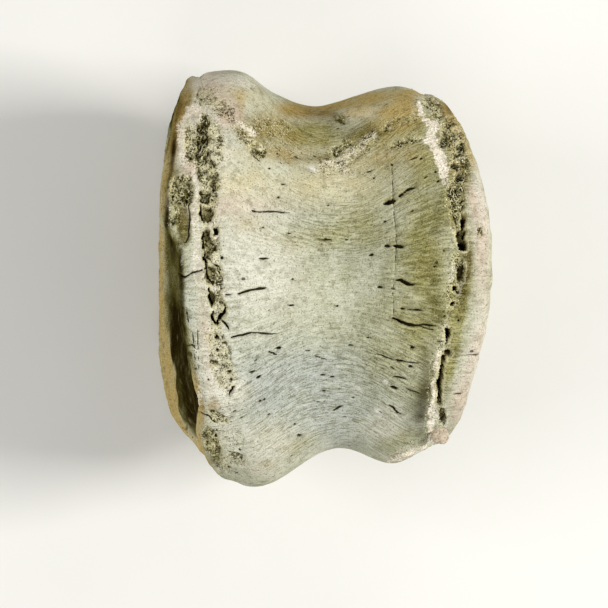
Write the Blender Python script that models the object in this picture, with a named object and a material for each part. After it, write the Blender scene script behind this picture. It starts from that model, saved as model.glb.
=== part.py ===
"""Centrum of a young whale's tail vertebra, lying on its side, with its two unfused end plates.

The bone's own axes are the world's: X runs along the spine from the front plate to the rear plate,
Y points to the back of the animal (dorsal) and Z to its upper side as the bone lies. Lengths below are
in millimetres, measured from the middle of the bone's length and height and from its lateral mid-plane,
and millimetres become metres only in place_point().
"""

import math

import bpy
import numpy as np

MM = 0.001

# Driving dimensions
WAIST_X = 4.0  # the narrowest section of the spool
FRONT_FLARE = 36.0  # from the waist to where the front end is at its full width
REAR_FLARE = 32.0
END_HALF_DEPTH = 55.5  # half the width from side to side at either end
WAIST_HALF_DEPTH = 46.5
REST_CUT = 0.9  # how far the lowest flanks are worn flat where the bone rests
SQUARENESS = 2.25  # exponent of the section: 2 is an ellipse, more is squarer
SUTURE_GAP = 0.4  # clear space between the centrum and each plate
SUTURE_WEAR = 1.3  # depth of the groove that wear has opened along each suture
SUTURE_WEAR_REACH = 2.8  # how far from the suture the groove reaches on either side
RIM_ROUND = 3.2  # radius of the worn edge of each plate
UPPER_FLANK_COSINE = 0.5  # where the upper flank's own chipping of the rim is felt in full
FRONT_DISH = 5.0  # depth of the hollow in the front face
DISH_FLATNESS = 0.6  # exponent of the hollow: less is flatter with a steeper edge
REAR_CROWN = 2.2  # height of the swelling of the rear face

# Half-height above the axis at places along the bone: the dorsal outline
DORSAL_OUTLINE = (
    (-46.0, 55.6),
    (-36.0, 59.4),
    (-27.0, 62.0),
    (-19.5, 61.7),
    (-9.5, 55.2),
    (3.5, 51.6),
    (15.0, 54.6),
    (27.0, 57.6),
    (35.5, 55.2),
    (46.0, 54.2),
)

# Half-height below the axis between the two ventral ridges: the ventral outline without its tubercles
VENTRAL_OUTLINE = (
    (-46.0, 55.4),
    (-30.0, 56.2),
    (-18.0, 58.0),
    (-4.0, 54.6),
    (12.0, 50.6),
    (26.0, 52.6),
    (34.0, 50.0),
    (46.0, 47.6),
)


def smooth_outline(stations, x):
    """Height of a smooth curve through (place, height) stations, with slopes from the neighbours."""
    places = np.array([place for place, _ in stations])
    heights = np.array([height for _, height in stations])
    slopes = np.gradient(heights, places)
    x = np.clip(x, places[0], places[-1])
    step = np.clip(np.searchsorted(places, x) - 1, 0, len(places) - 2)
    width = places[step + 1] - places[step]
    share = (x - places[step]) / width
    rest = 1.0 - share
    return (
        heights[step] * rest**2 * (1.0 + 2.0 * share)
        + heights[step + 1] * share**2 * (3.0 - 2.0 * share)
        + slopes[step] * width * share * rest**2
        - slopes[step + 1] * width * share**2 * rest
    )


class Tubercle:
    """A low swelling of the flank: its place along the bone, its turn from dorsal, height and reach."""

    def __init__(self, x, turn_deg, height, length, width_deg):
        self.x = x
        self.turn = math.radians(turn_deg)
        self.height = height
        self.length = length
        self.width = math.radians(width_deg)

    def swelling(self, x, turn):
        """Height of the swelling at x and at an angle from dorsal."""
        along = (x - self.x) / self.length
        around = (turn - self.turn) / self.width
        return self.height * np.exp(-(along**2) - around**2)


# Each stands on both flanks, because the bone is the same on its left and right
TUBERCLES = (
    Tubercle(x=-12.6, turn_deg=160.0, height=4.7, length=12.5, width_deg=17.0),  # front haemal tubercle
    Tubercle(x=23.0, turn_deg=160.0, height=2.0, length=12.0, width_deg=17.0),  # rear haemal tubercle
    Tubercle(x=-22.0, turn_deg=34.0, height=2.2, length=14.0, width_deg=13.0),  # front of the arch's root
    Tubercle(x=16.0, turn_deg=36.0, height=1.6, length=20.0, width_deg=9.0),  # rear of the arch's root
    Tubercle(x=2.0, turn_deg=16.0, height=-1.2, length=22.0, width_deg=10.0),  # furrow of the nerve canal
)


class Wave:
    """A gentle unevenness of the flank: its height, its waves along the bone and around it, and its phase."""

    def __init__(self, height, length, turns, phase):
        self.height = height
        self.length = length
        self.turns = turns
        self.phase = phase

    def swelling(self, x, angle):
        """Height of the wave at x and at an angle from the upper flank towards dorsal."""
        return self.height * np.cos(2.0 * math.pi * x / self.length + self.turns * angle + self.phase)


UNEVENNESS = (
    Wave(height=0.45, length=61.0, turns=3, phase=0.6),
    Wave(height=0.35, length=43.0, turns=-5, phase=2.1),
    Wave(height=0.25, length=-29.0, turns=4, phase=4.0),
)


def flank_degrees(angle):
    """Degrees above the middle of the flank, alike on both flanks."""
    return np.degrees(np.arcsin(np.clip(np.sin(angle), -1.0, 1.0)))


class EndPlate:
    """Where one end plate's suture and worn rim lie, measured along the bone."""

    def __init__(self, outward, rim_x, dorsal_wear, ventral_wear, flank_tilt, flank_rim, suture_path):
        self.outward = outward  # -1 at the front of the bone, 1 at the rear
        self.rim_x = rim_x
        self.dorsal_wear = dorsal_wear  # (how far the rim is worn back at the top, exponent)
        self.ventral_wear = ventral_wear
        self.flank_tilt = flank_tilt  # how much further out the rim lies on one flank
        self.flank_rim = flank_rim  # (degrees above mid-flank, how far the upper flank's rim is set back)
        self.suture_path = suture_path  # (degrees above mid-flank, place along the bone)
        self.middle_x = smooth_outline(suture_path, 0.0)

    def rim(self, angle):
        """Place of the rim along the bone, at an angle from the upper flank towards dorsal."""
        rise = np.sin(angle)
        dorsal = self.dorsal_wear[0] * np.maximum(rise, 0.0) ** self.dorsal_wear[1]
        ventral = self.ventral_wear[0] * np.maximum(-rise, 0.0) ** self.ventral_wear[1]
        upper = np.clip(np.cos(angle) / UPPER_FLANK_COSINE, 0.0, 1.0)
        chipped = smooth_outline(self.flank_rim, flank_degrees(angle)) * upper**2 * (3.0 - 2.0 * upper)
        return self.rim_x - self.outward * (dorsal + ventral) + self.flank_tilt * np.cos(angle) + chipped

    def suture(self, angle):
        """Place of the suture along the bone at the flank, alike on both flanks."""
        return smooth_outline(self.suture_path, flank_degrees(angle))


FRONT = EndPlate(
    outward=-1,
    rim_x=-40.2,
    dorsal_wear=(5.8, 7.0),
    ventral_wear=(17.0, 7.0),
    flank_tilt=2.0,
    flank_rim=(
        (-90.0, 0.0),
        (-62.0, 0.3),
        (-53.0, 1.8),
        (-47.0, 3.0),
        (-41.0, 4.6),
        (-35.0, 4.0),
        (-29.0, 3.1),
        (-23.0, 1.8),
        (-15.0, 0.4),
        (-8.0, -0.8),
        (3.0, -1.1),
        (9.0, -2.2),
        (14.0, -4.4),
        (20.0, -5.7),
        (28.0, -5.5),
        (36.0, -4.4),
        (46.0, -2.6),
        (58.0, -1.2),
        (90.0, 0.0),
    ),
    suture_path=(
        (-90.0, -20.0),
        (-49.0, -23.8),
        (-28.0, -26.4),
        (-3.0, -29.4),
        (10.0, -30.6),
        (40.0, -31.6),
        (90.0, -32.2),
    ),
)
REAR = EndPlate(
    outward=1,
    rim_x=46.2,
    dorsal_wear=(9.0, 2.05),
    ventral_wear=(6.8, 1.15),
    flank_tilt=0.0,
    flank_rim=((-90.0, 0.0), (90.0, 0.0)),
    suture_path=(
        (-90.0, 35.4),
        (-62.0, 35.6),
        (-42.0, 32.9),
        (-19.0, 33.3),
        (8.0, 36.3),
        (25.0, 34.7),
        (45.0, 33.2),
        (90.0, 33.0),
    ),
)

KNOB = {"x": 40.2, "y": -47.2, "z": 6.0, "radius": 2.5}  # a rounded bead of bone at the rear plate's foot
MIDDLE = {"x": 2.15, "y": 0.3}  # the middle of the whole bone's box, from the axis's own origin

# Mesh fineness
COLUMNS = 72
CENTRUM_SHARES = (0.0, 0.02, *np.linspace(0.045, 0.955, 18), 0.98, 1.0)  # closer together by the sutures
PLATE_SHARES = (0.0, 0.18, 0.45, 1.0)
RIM_ROWS = 4
SUTURE_RINGS = (0.80, 0.40)
FACE_RINGS = (0.95, 0.86, 0.72, 0.52, 0.28)

SHARP_DEG = 40.0  # edges that turn more than this are shaded sharp
COLOURS = {
    "centrum": (0.560, 0.545, 0.420),
    "epiphysis_front": (0.610, 0.560, 0.420),
    "epiphysis_rear": (0.640, 0.580, 0.450),
}


def half_depth(x):
    """Half the width from side to side: two smooth flares from the waist to the ends."""
    reach = np.where(x < WAIST_X, (WAIST_X - x) / FRONT_FLARE, (x - WAIST_X) / REAR_FLARE)
    share = np.clip(reach, 0.0, 1.0)
    return WAIST_HALF_DEPTH + (END_HALF_DEPTH - WAIST_HALF_DEPTH) * share**2 * (3.0 - 2.0 * share)


def flank_radius(x, angle):
    """Distance from the axis to the flank at x, at an angle from the upper flank towards dorsal."""
    rise = np.sin(angle)
    side = np.cos(angle)
    height = np.where(rise > 0.0, smooth_outline(DORSAL_OUTLINE, x), smooth_outline(VENTRAL_OUTLINE, x))
    section = np.abs(rise / height) ** SQUARENESS + np.abs(side / half_depth(x)) ** SQUARENESS
    turn = np.arccos(np.clip(rise, -1.0, 1.0))
    swelling = sum(tubercle.swelling(x, turn) for tubercle in TUBERCLES)
    swelling = swelling + sum(wave.swelling(x, angle) for wave in UNEVENNESS)
    return section ** (-1.0 / SQUARENESS) + swelling


def place_point(x, radius, angle):
    """World point in metres. Whatever would reach under the floor is worn flat at floor level."""
    floor = -(END_HALF_DEPTH - REST_CUT)
    y = radius * np.sin(angle) - MIDDLE["y"]
    z = np.maximum(radius * np.cos(angle), floor) - floor
    return np.stack([(x - MIDDLE["x"]) * MM, y * MM, z * MM], axis=-1)


def column_angles():
    """Angles of the mesh's columns, with one column in the middle of the flank that rests on the floor."""
    return np.arange(COLUMNS) * 2.0 * math.pi / COLUMNS


def suture_ring(plate, share, offset):
    """One ring of a suture face: share is 1 at the flank and falls towards the axis."""
    angle = column_angles()
    edge_x = plate.suture(angle)
    x = plate.middle_x + (edge_x - plate.middle_x) * share**2 + offset
    return place_point(x, worn_radius(edge_x + offset, angle) * share, angle)


def worn_radius(x, angle):
    """The flank's radius with the groove that wear has opened along both sutures."""
    depth = 0.0
    for plate in (FRONT, REAR):
        nearness = 1.0 - np.abs(x - plate.suture(angle)) / SUTURE_WEAR_REACH
        depth = depth + SUTURE_WEAR * np.clip(nearness, 0.0, 1.0) ** 2
    return flank_radius(x, angle) - depth


def flank_rings(start_x, end_x, shares):
    """Rings along the flank at shares of the way from one curve to another."""
    angle = column_angles()
    rings = []
    for share in shares:
        x = start_x + (end_x - start_x) * share
        rings.append(place_point(x, worn_radius(x, angle), angle))
    return rings


def build_solid(name, rings, poles):
    """One closed body from rings of points and a pole at each end, with its faces pointing out."""
    points = [tuple(point) for ring in rings for point in ring]
    first_pole = len(points)
    points += [tuple(pole) for pole in poles]
    faces = []
    for row in range(len(rings) - 1):
        for column in range(COLUMNS):
            across = (column + 1) % COLUMNS
            here, beyond = row * COLUMNS, (row + 1) * COLUMNS
            faces.append((here + column, beyond + column, beyond + across, here + across))
    last = (len(rings) - 1) * COLUMNS
    for column in range(COLUMNS):
        across = (column + 1) % COLUMNS
        faces.append((first_pole, column, across))
        faces.append((first_pole + 1, last + across, last + column))
    mesh = bpy.data.meshes.new(name)
    mesh.from_pydata(points, [], faces)
    mesh.validate()
    body = bpy.data.objects.new(name, mesh)
    bpy.context.scene.collection.objects.link(body)
    return body


def dress(body, name):
    """Dry, weathered bone in the piece's own colour, shaded smooth but for its sharp edges."""
    bone = bpy.data.materials.new(f"weathered_bone_{name}")
    bone.use_nodes = True
    shader = bone.node_tree.nodes["Principled BSDF"]
    shader.inputs["Base Color"].default_value = (*COLOURS[name], 1.0)
    shader.inputs["Roughness"].default_value = 0.85
    shader.inputs["Metallic"].default_value = 0.0
    body.data.materials.append(bone)
    body.data.shade_smooth()
    body.data.set_sharp_from_angle(angle=math.radians(SHARP_DEG))


def build_centrum():
    """The spool between the two sutures."""
    angle = column_angles()
    half_gap = SUTURE_GAP / 2.0
    start_x = FRONT.suture(angle) + half_gap
    end_x = REAR.suture(angle) - half_gap
    rings = [suture_ring(FRONT, share, half_gap) for share in reversed(SUTURE_RINGS)]
    rings += flank_rings(start_x, end_x, CENTRUM_SHARES)
    rings += [suture_ring(REAR, share, -half_gap) for share in SUTURE_RINGS]
    poles = [
        place_point(FRONT.middle_x + half_gap, 0.0, 0.0),
        place_point(REAR.middle_x - half_gap, 0.0, 0.0),
    ]
    return build_solid("centrum", rings, poles)


def face_height(plate, share):
    """How far the outer face stands out at a share of the way from the axis to its rim."""
    if plate.outward < 0:
        return -FRONT_DISH * (1.0 - share**2) ** DISH_FLATNESS
    return REAR_CROWN * (1.0 - share**2)


def build_plate(name, plate):
    """An end plate: the face in the suture, the flank, the rounded rim and the outer face."""
    angle = column_angles()
    offset = plate.outward * SUTURE_GAP / 2.0
    start_x = plate.suture(angle) + offset
    rim_x = plate.rim(angle)
    thickness = (rim_x - start_x) * plate.outward
    rounding = np.minimum(RIM_ROUND, 0.45 * thickness)
    shoulder_x = rim_x - plate.outward * rounding
    rings = [suture_ring(plate, share, offset) for share in reversed(SUTURE_RINGS)]
    rings += flank_rings(start_x, shoulder_x, PLATE_SHARES)
    shoulder_radius = worn_radius(shoulder_x, angle)
    for row in range(1, RIM_ROWS + 1):
        turn = math.pi / 2.0 * row / RIM_ROWS
        x = shoulder_x + plate.outward * rounding * math.sin(turn)
        radius = shoulder_radius - rounding * (1.0 - math.cos(turn))
        rings.append(place_point(x, radius, angle))
    face_radius = shoulder_radius - rounding
    for share in FACE_RINGS:
        centred_x = plate.rim_x + (rim_x - plate.rim_x) * share**3
        rings.append(place_point(centred_x + plate.outward * face_height(plate, share), face_radius * share, angle))
    poles = [
        place_point(plate.middle_x + offset, 0.0, 0.0),
        place_point(plate.rim_x + plate.outward * face_height(plate, 0.0), 0.0, 0.0),
    ]
    if plate.outward < 0:
        rings.reverse()
        poles.reverse()
    return build_solid(name, rings, poles)


def add_knob(plate):
    """The bead of bone at the foot of the rear plate, joined to it."""
    floor = -(END_HALF_DEPTH - REST_CUT)
    centre = (
        (KNOB["x"] - MIDDLE["x"]) * MM,
        (KNOB["y"] - MIDDLE["y"]) * MM,
        (KNOB["z"] - floor) * MM,
    )
    bpy.ops.mesh.primitive_ico_sphere_add(subdivisions=2, radius=KNOB["radius"] * MM, location=centre)
    bead = bpy.context.active_object
    bead.name = "knob_cutter"
    bead.hide_render = True
    bead.display_type = "WIRE"
    join = plate.modifiers.new("Knob", "BOOLEAN")
    join.operation = "UNION"
    join.solver = "EXACT"
    join.object = bead


def main():
    """Clear the scene, then build and dress the three bones."""
    for leftover in list(bpy.data.objects):
        bpy.data.objects.remove(leftover, do_unlink=True)
    centrum = build_centrum()
    front = build_plate("epiphysis_front", FRONT)
    rear = build_plate("epiphysis_rear", REAR)
    add_knob(rear)
    for body in (centrum, front, rear):
        dress(body, body.name)


main()
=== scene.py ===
"""A young whale's tail vertebra as it lies on its side: the finished look of its three bones.

The bone's own axes are the frame's: X runs along the spine from the front plate to the rear plate, Y points
to the back of the animal and Z up. Lengths are in millimetres from the middle of the bone, and they become
metres in the frame only in BoneForm.place(). Marks that the photograph shows are named by their pixel in its
608 by 608 frame, and each is cut into the bone where that pixel's sight line meets it.
"""

import logging
import math
from dataclasses import dataclass
from enum import Enum
from functools import partial

import bmesh
import bpy
import numpy as np
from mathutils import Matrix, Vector, noise


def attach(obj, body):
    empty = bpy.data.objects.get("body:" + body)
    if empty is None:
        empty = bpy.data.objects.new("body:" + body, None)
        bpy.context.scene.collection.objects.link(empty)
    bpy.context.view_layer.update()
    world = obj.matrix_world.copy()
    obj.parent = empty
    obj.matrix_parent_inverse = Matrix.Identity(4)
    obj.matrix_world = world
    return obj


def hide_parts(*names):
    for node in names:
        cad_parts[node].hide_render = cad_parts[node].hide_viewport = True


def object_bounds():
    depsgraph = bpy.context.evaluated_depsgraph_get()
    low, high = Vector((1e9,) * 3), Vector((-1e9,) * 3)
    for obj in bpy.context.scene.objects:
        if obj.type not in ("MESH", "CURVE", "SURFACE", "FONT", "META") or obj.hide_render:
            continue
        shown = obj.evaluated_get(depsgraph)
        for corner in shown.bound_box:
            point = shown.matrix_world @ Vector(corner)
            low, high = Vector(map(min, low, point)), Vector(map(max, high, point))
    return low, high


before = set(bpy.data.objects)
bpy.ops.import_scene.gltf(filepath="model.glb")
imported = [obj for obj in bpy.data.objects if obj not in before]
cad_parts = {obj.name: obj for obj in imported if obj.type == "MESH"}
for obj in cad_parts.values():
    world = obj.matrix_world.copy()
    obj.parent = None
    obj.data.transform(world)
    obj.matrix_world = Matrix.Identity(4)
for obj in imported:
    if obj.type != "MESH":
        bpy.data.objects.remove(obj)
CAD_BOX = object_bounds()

MM = 0.001
GRAIN_RADIUS = 52.0  # mean radius of the spool, on which what runs around it is unrolled
GRAIN_FAN = 0.2  # how far the grain fans out towards both ends of the spool
NO_SLIT = 1.5  # what a place with no slit near it reads as the distance to one
OVAL_SQUARENESS = 2.6  # above 2, a mark's oval is fuller towards its corners than an ellipse
LOG = logging.getLogger("vertebra")

Rows = np.ndarray  # numbers or points at many places at once
Stations = tuple[tuple[float, float], ...]  # heights of a curve, each after the place where it has it


# ======== Small mathematics ========


def ramp(value: Rows, low: float, high: float) -> Rows:
    """Rise smoothly from 0 to 1.

    Args:
        value: Any numbers.
        low: Where the rise starts; it may be above high, and then the ramp falls.
        high: Where the rise ends.

    Returns:
        The smooth step of each number.
    """
    share = np.clip((value - low) / (high - low), 0.0, 1.0)
    return share * share * (3.0 - 2.0 * share)


def ripple(places: Rows, wavelength: float, seed: float) -> Rows:
    """Smooth unevenness that repeats at no place.

    Args:
        places: Points in millimetres, in rows of three.
        wavelength: Millimetres from one rise to the next.
        seed: Offset that tells one unevenness from another.

    Returns:
        A number from about -1 to 1 for each point.
    """
    scaled = places.reshape(-1, 3) / wavelength + seed
    return np.array([noise.noise(place) for place in scaled.tolist()]).reshape(places.shape[:-1])


def waves(length_mm: float) -> float:
    """Waves to the metre of a pattern with a real wavelength."""
    return 1.0 / (length_mm * MM)


def on_ring(angle: Rows) -> Rows:
    """Points on a ring of the spool's mean radius, on which what varies around it is laid out."""
    return np.stack([np.cos(angle), np.sin(angle), np.zeros_like(angle)], axis=-1) * GRAIN_RADIUS


def cells(places: Rows, size: float, seed: float) -> tuple[Rows, Rows]:
    """Closed cells that fill space, as the marrow spaces of spongy bone do.

    Args:
        places: Points in millimetres, in rows of three.
        size: Millimetres from one cell's middle to the next.
        seed: Offset that tells one set of cells from another.

    Returns:
        How far inside its cell each point is, from 0 on a wall, and a random number for each point's cell.
    """
    inside = []
    share = []
    for place in (places.reshape(-1, 3) / size + seed).tolist():
        distances, middles = noise.voronoi(place)
        inside.append(distances[1] - distances[0])
        share.append(noise.cell(middles[0] * 7.31))
    shape = places.shape[:-1]
    return np.array(inside).reshape(shape), np.abs(np.array(share)).reshape(shape)


def smooth_outline(stations: Stations, x: Rows) -> Rows:
    """Height of a smooth curve through named stations, with slopes from the neighbours.

    Args:
        stations: Pairs of a place and the height there.
        x: Places to read.

    Returns:
        The curve's height at each place.
    """
    places = np.array([place for place, _ in stations])
    heights = np.array([height for _, height in stations])
    slopes = np.gradient(heights, places)
    x = np.clip(x, places[0], places[-1])
    step = np.clip(np.searchsorted(places, x) - 1, 0, len(places) - 2)
    width = places[step + 1] - places[step]
    share = (x - places[step]) / width
    rest = 1.0 - share
    return (
        heights[step] * rest**2 * (1.0 + 2.0 * share)
        + heights[step + 1] * share**2 * (3.0 - 2.0 * share)
        + slopes[step] * width * share * rest**2
        - slopes[step + 1] * width * share**2 * rest
    )


# ======== The bone's smooth form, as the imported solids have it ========


@dataclass(frozen=True)
class Tubercle:
    """A low swelling that stands on both flanks alike."""

    x: float
    turn_deg: float
    height: float
    length: float
    width_deg: float

    def swelling(self, x: Rows, turn: Rows) -> Rows:
        """Height of the swelling.

        Args:
            x: Places along the bone.
            turn: Angles from dorsal, in radians.

        Returns:
            The height at each place.
        """
        along = (x - self.x) / self.length
        around = (turn - math.radians(self.turn_deg)) / math.radians(self.width_deg)
        return self.height * np.exp(-(along**2) - around**2)


@dataclass(frozen=True)
class Wave:
    """A gentle unevenness of the flank, in waves along the bone and around it."""

    height: float
    length: float
    turns: int
    phase: float

    def swelling(self, x: Rows, angle: Rows) -> Rows:
        """Height of the wave at places along the bone and angles around it."""
        return self.height * np.cos(2.0 * math.pi * x / self.length + self.turns * angle + self.phase)


@dataclass(frozen=True)
class BoneForm:
    """The spool that the centrum and its two plates make together.

    Angles round the bone start at the upper flank and grow towards dorsal, in radians.
    """

    waist_x: float = 4.0
    front_flare: float = 36.0
    rear_flare: float = 32.0
    end_half_depth: float = 55.5
    waist_half_depth: float = 46.5
    rest_cut: float = 0.9
    squareness: float = 2.25
    suture_wear: float = 1.3
    suture_wear_reach: float = 2.8
    middle_x: float = 2.15
    middle_y: float = 0.3
    dorsal_outline: Stations = (
        (-46, 55.6), (-36, 59.4), (-27, 62), (-19.5, 61.7), (-9.5, 55.2), (3.5, 51.6), (15, 54.6), (27, 57.6),
        (35.5, 55.2), (46, 54.2),
    )
    ventral_outline: Stations = (
        (-46, 55.4), (-30, 56.2), (-18, 58), (-4, 54.6), (12, 50.6), (26, 52.6), (34, 50), (46, 47.6),
    )
    tubercles: tuple[Tubercle, ...] = (
        Tubercle(x=-12.6, turn_deg=160.0, height=4.7, length=12.5, width_deg=17.0),
        Tubercle(x=23.0, turn_deg=160.0, height=2.0, length=12.0, width_deg=17.0),
        Tubercle(x=-22.0, turn_deg=34.0, height=2.2, length=14.0, width_deg=13.0),
        Tubercle(x=16.0, turn_deg=36.0, height=1.6, length=20.0, width_deg=9.0),
        Tubercle(x=2.0, turn_deg=16.0, height=-1.2, length=22.0, width_deg=10.0),
    )
    waves: tuple[Wave, ...] = (
        Wave(height=0.45, length=61.0, turns=3, phase=0.6),
        Wave(height=0.35, length=43.0, turns=-5, phase=2.1),
        Wave(height=0.25, length=-29.0, turns=4, phase=4.0),
    )

    @property
    def floor(self) -> float:
        """Height of the floor below the bone's axis."""
        return -(self.end_half_depth - self.rest_cut)

    def half_depth(self, x: Rows) -> Rows:
        """Half the width from side to side.

        Args:
            x: Places along the bone.

        Returns:
            The half width at each place.
        """
        ahead, behind = (self.waist_x - x) / self.front_flare, (x - self.waist_x) / self.rear_flare
        reach = np.where(x < self.waist_x, ahead, behind)
        return self.waist_half_depth + (self.end_half_depth - self.waist_half_depth) * ramp(reach, 0.0, 1.0)

    def flank_radius(self, x: Rows, angle: Rows) -> Rows:
        """Distance from the axis to the unworn flank.

        Args:
            x: Places along the bone.
            angle: Angles round the bone.

        Returns:
            The radius at each place.
        """
        rise = np.sin(angle)
        height = np.where(
            rise > 0.0, smooth_outline(self.dorsal_outline, x), smooth_outline(self.ventral_outline, x)
        )
        section = np.abs(rise / height) ** self.squareness
        section = section + np.abs(np.cos(angle) / self.half_depth(x)) ** self.squareness
        turn = np.arccos(np.clip(rise, -1.0, 1.0))
        swelling = sum(tubercle.swelling(x, turn) for tubercle in self.tubercles)
        swelling = swelling + sum(wave.swelling(x, angle) for wave in self.waves)
        return section ** (-1.0 / self.squareness) + swelling

    def flank_normal(self, x: Rows, angle: Rows) -> Rows:
        """Direction that the flank faces.

        Args:
            x: Places along the bone.
            angle: Angles round the bone.

        Returns:
            A unit vector for each place.
        """
        step_x, step_angle = 0.4, 0.01
        radius = self.flank_radius(x, angle)
        along = (self.flank_radius(x + step_x, angle) - self.flank_radius(x - step_x, angle)) / (2.0 * step_x)
        around = self.flank_radius(x, angle + step_angle) - self.flank_radius(x, angle - step_angle)
        around = around / (2.0 * step_angle * radius)
        normal = np.stack(
            [-along, np.sin(angle) - around * np.cos(angle), np.cos(angle) + around * np.sin(angle)], axis=-1
        )
        return normal / np.linalg.norm(normal, axis=-1, keepdims=True)

    def place(self, x: Rows, radius: Rows, angle: Rows) -> Rows:
        """Points in the frame, where whatever would reach under the floor is worn flat on it.

        Args:
            x: Places along the bone.
            radius: Distances from the axis.
            angle: Angles round the bone.

        Returns:
            A point in metres for each place.
        """
        y = radius * np.sin(angle) - self.middle_y
        z = np.maximum(radius * np.cos(angle), self.floor) - self.floor
        return np.stack([(x - self.middle_x) * MM, y * MM, z * MM], axis=-1)


def flank_degrees(angle: Rows) -> Rows:
    """Degrees above the middle of the flank, alike on both flanks."""
    return np.degrees(np.arcsin(np.clip(np.sin(angle), -1.0, 1.0)))


@dataclass(frozen=True)
class PlateForm:
    """Where one end plate's suture, worn rim and outer face lie along the bone."""

    outward: int
    rim_x: float
    dorsal_wear: tuple[float, float]
    ventral_wear: tuple[float, float]
    flank_tilt: float
    flank_rim: Stations
    suture_path: Stations
    face_rise: float
    face_power: float
    seed: float
    rim_round: float = 3.2
    upper_flank_cosine: float = 0.5
    wander: float = 0.45

    def rim(self, angle: Rows) -> Rows:
        """Place of the rim along the bone.

        Args:
            angle: Angles round the bone.

        Returns:
            The place of the rim at each angle.
        """
        rise = np.sin(angle)
        dorsal = self.dorsal_wear[0] * np.maximum(rise, 0.0) ** self.dorsal_wear[1]
        ventral = self.ventral_wear[0] * np.maximum(-rise, 0.0) ** self.ventral_wear[1]
        upper = ramp(np.cos(angle), 0.0, self.upper_flank_cosine)
        chipped = smooth_outline(self.flank_rim, flank_degrees(angle)) * upper
        return self.rim_x - self.outward * (dorsal + ventral) + self.flank_tilt * np.cos(angle) + chipped

    @property
    def suture_middle(self) -> float:
        """Place of the suture along the bone at the middle of the flank."""
        return float(smooth_outline(self.suture_path, np.zeros(1))[0])

    def suture(self, angle: Rows) -> Rows:
        """Place of the ragged suture along the bone.

        Args:
            angle: Angles round the bone.

        Returns:
            The place of the suture at each angle.
        """
        ring = on_ring(angle)
        turns = ripple(ring, 9.0, self.seed) + 0.5 * ripple(ring, 3.1, self.seed + 4.0)
        return smooth_outline(self.suture_path, flank_degrees(angle)) + self.wander * turns

    def face_height(self, share: Rows) -> Rows:
        """How far the outer face stands out, at a share of the way from the axis to the rim."""
        return self.face_rise * (1.0 - share**2) ** self.face_power


FORM = BoneForm()
FRONT = PlateForm(
    outward=-1,
    rim_x=-40.2,
    dorsal_wear=(5.8, 7.0),
    ventral_wear=(17.0, 7.0),
    flank_tilt=2.0,
    flank_rim=(
        (-90, 0), (-62, 0.3), (-53, 1.8), (-47, 3), (-41, 4.6), (-35, 4), (-29, 3.1), (-23, 1.8), (-15, 0.4),
        (-8, -0.8), (3, -1.1), (9, -2.2), (14, -4.4), (20, -5.7), (28, -5.5), (36, -4.4), (46, -2.6),
        (58, -1.2), (90, 0),
    ),
    suture_path=(
        (-90, -20), (-49, -23.8), (-28, -26.4), (-3, -29.4), (10, -30.6), (40, -31.6), (90, -32.2),
    ),
    face_rise=-5.0,
    face_power=0.6,
    seed=11.3,
)
REAR = PlateForm(
    outward=1,
    rim_x=46.2,
    dorsal_wear=(9.0, 2.05),
    ventral_wear=(6.8, 1.15),
    flank_tilt=0.0,
    flank_rim=((-90, 0), (90, 0)),
    suture_path=(
        (-90, 35.4), (-62, 35.6), (-42, 32.9), (-19, 33.3), (8, 36.3), (25, 34.7), (45, 33.2), (90, 33),
    ),
    face_rise=2.2,
    face_power=1.0,
    seed=37.9,
)


# ======== The photograph's view ========


@dataclass(frozen=True)
class PhotoView:
    """The camera above the bone, turned a little towards its front."""

    frame_px: float = 608.0
    pixel_mm: float = 0.30
    distance: float = 520.0
    turn_deg: float = 6.0
    target: tuple[float, float, float] = (-2.15, -7.8, 54.6)
    sensor_mm: float = 36.0
    clip: tuple[float, float] = (0.01, 20.0)

    @property
    def focal_px(self) -> float:
        """Focal length in pixels."""
        return self.distance / self.pixel_mm

    @property
    def location(self) -> Rows:
        """The camera's place in the frame.

        Returns:
            The place in metres.
        """
        turn = math.radians(self.turn_deg)
        back = np.array([-math.sin(turn), 0.0, math.cos(turn)])
        return (np.array(self.target) + self.distance * back) * MM

    def pixels(self, points: Rows) -> tuple[Rows, Rows]:
        """Where points show in the photograph's frame.

        Args:
            points: Points in metres.

        Returns:
            The column and the row of each point, in pixels from the top left corner.
        """
        turn = math.radians(self.turn_deg)
        sight = points - self.location
        right = sight @ np.array([math.cos(turn), 0.0, math.sin(turn)])
        depth = sight @ np.array([math.sin(turn), 0.0, -math.cos(turn)])
        up = sight[..., 1]
        middle = self.frame_px / 2.0
        return middle + self.focal_px * right / depth, middle - self.focal_px * up / depth

    def facing(self, points: Rows, normals: Rows) -> Rows:
        """How squarely a surface faces the camera, from -1 to 1."""
        sight = self.location - points
        return np.sum(normals * sight, axis=-1) / np.linalg.norm(sight, axis=-1)

    def build(self) -> None:
        """Make the camera and make it the scene's."""
        lens = bpy.data.cameras.new("photo_view")
        lens.sensor_width = self.sensor_mm
        lens.lens = self.focal_px * self.sensor_mm / self.frame_px
        lens.clip_start, lens.clip_end = self.clip
        camera = stand("photo_view", lens)
        camera.location = self.location
        camera.rotation_euler = (0.0, -math.radians(self.turn_deg), 0.0)
        bpy.context.scene.camera = camera


VIEW = PhotoView()


# ======== Marks of weather on the surface ========


class Tint(Enum):
    """A colour on the bone that soil, sun or wear has left; some also serve as painted shade and light."""

    CREAM = "cream"
    YELLOW = "yellow"
    OLIVE = "olive"
    MOSS = "moss"
    BROWN = "brown"
    TAN = "tan"
    GREY = "grey"
    PINK = "pink"
    WHITE = "white"
    DARK = "dark"


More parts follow.
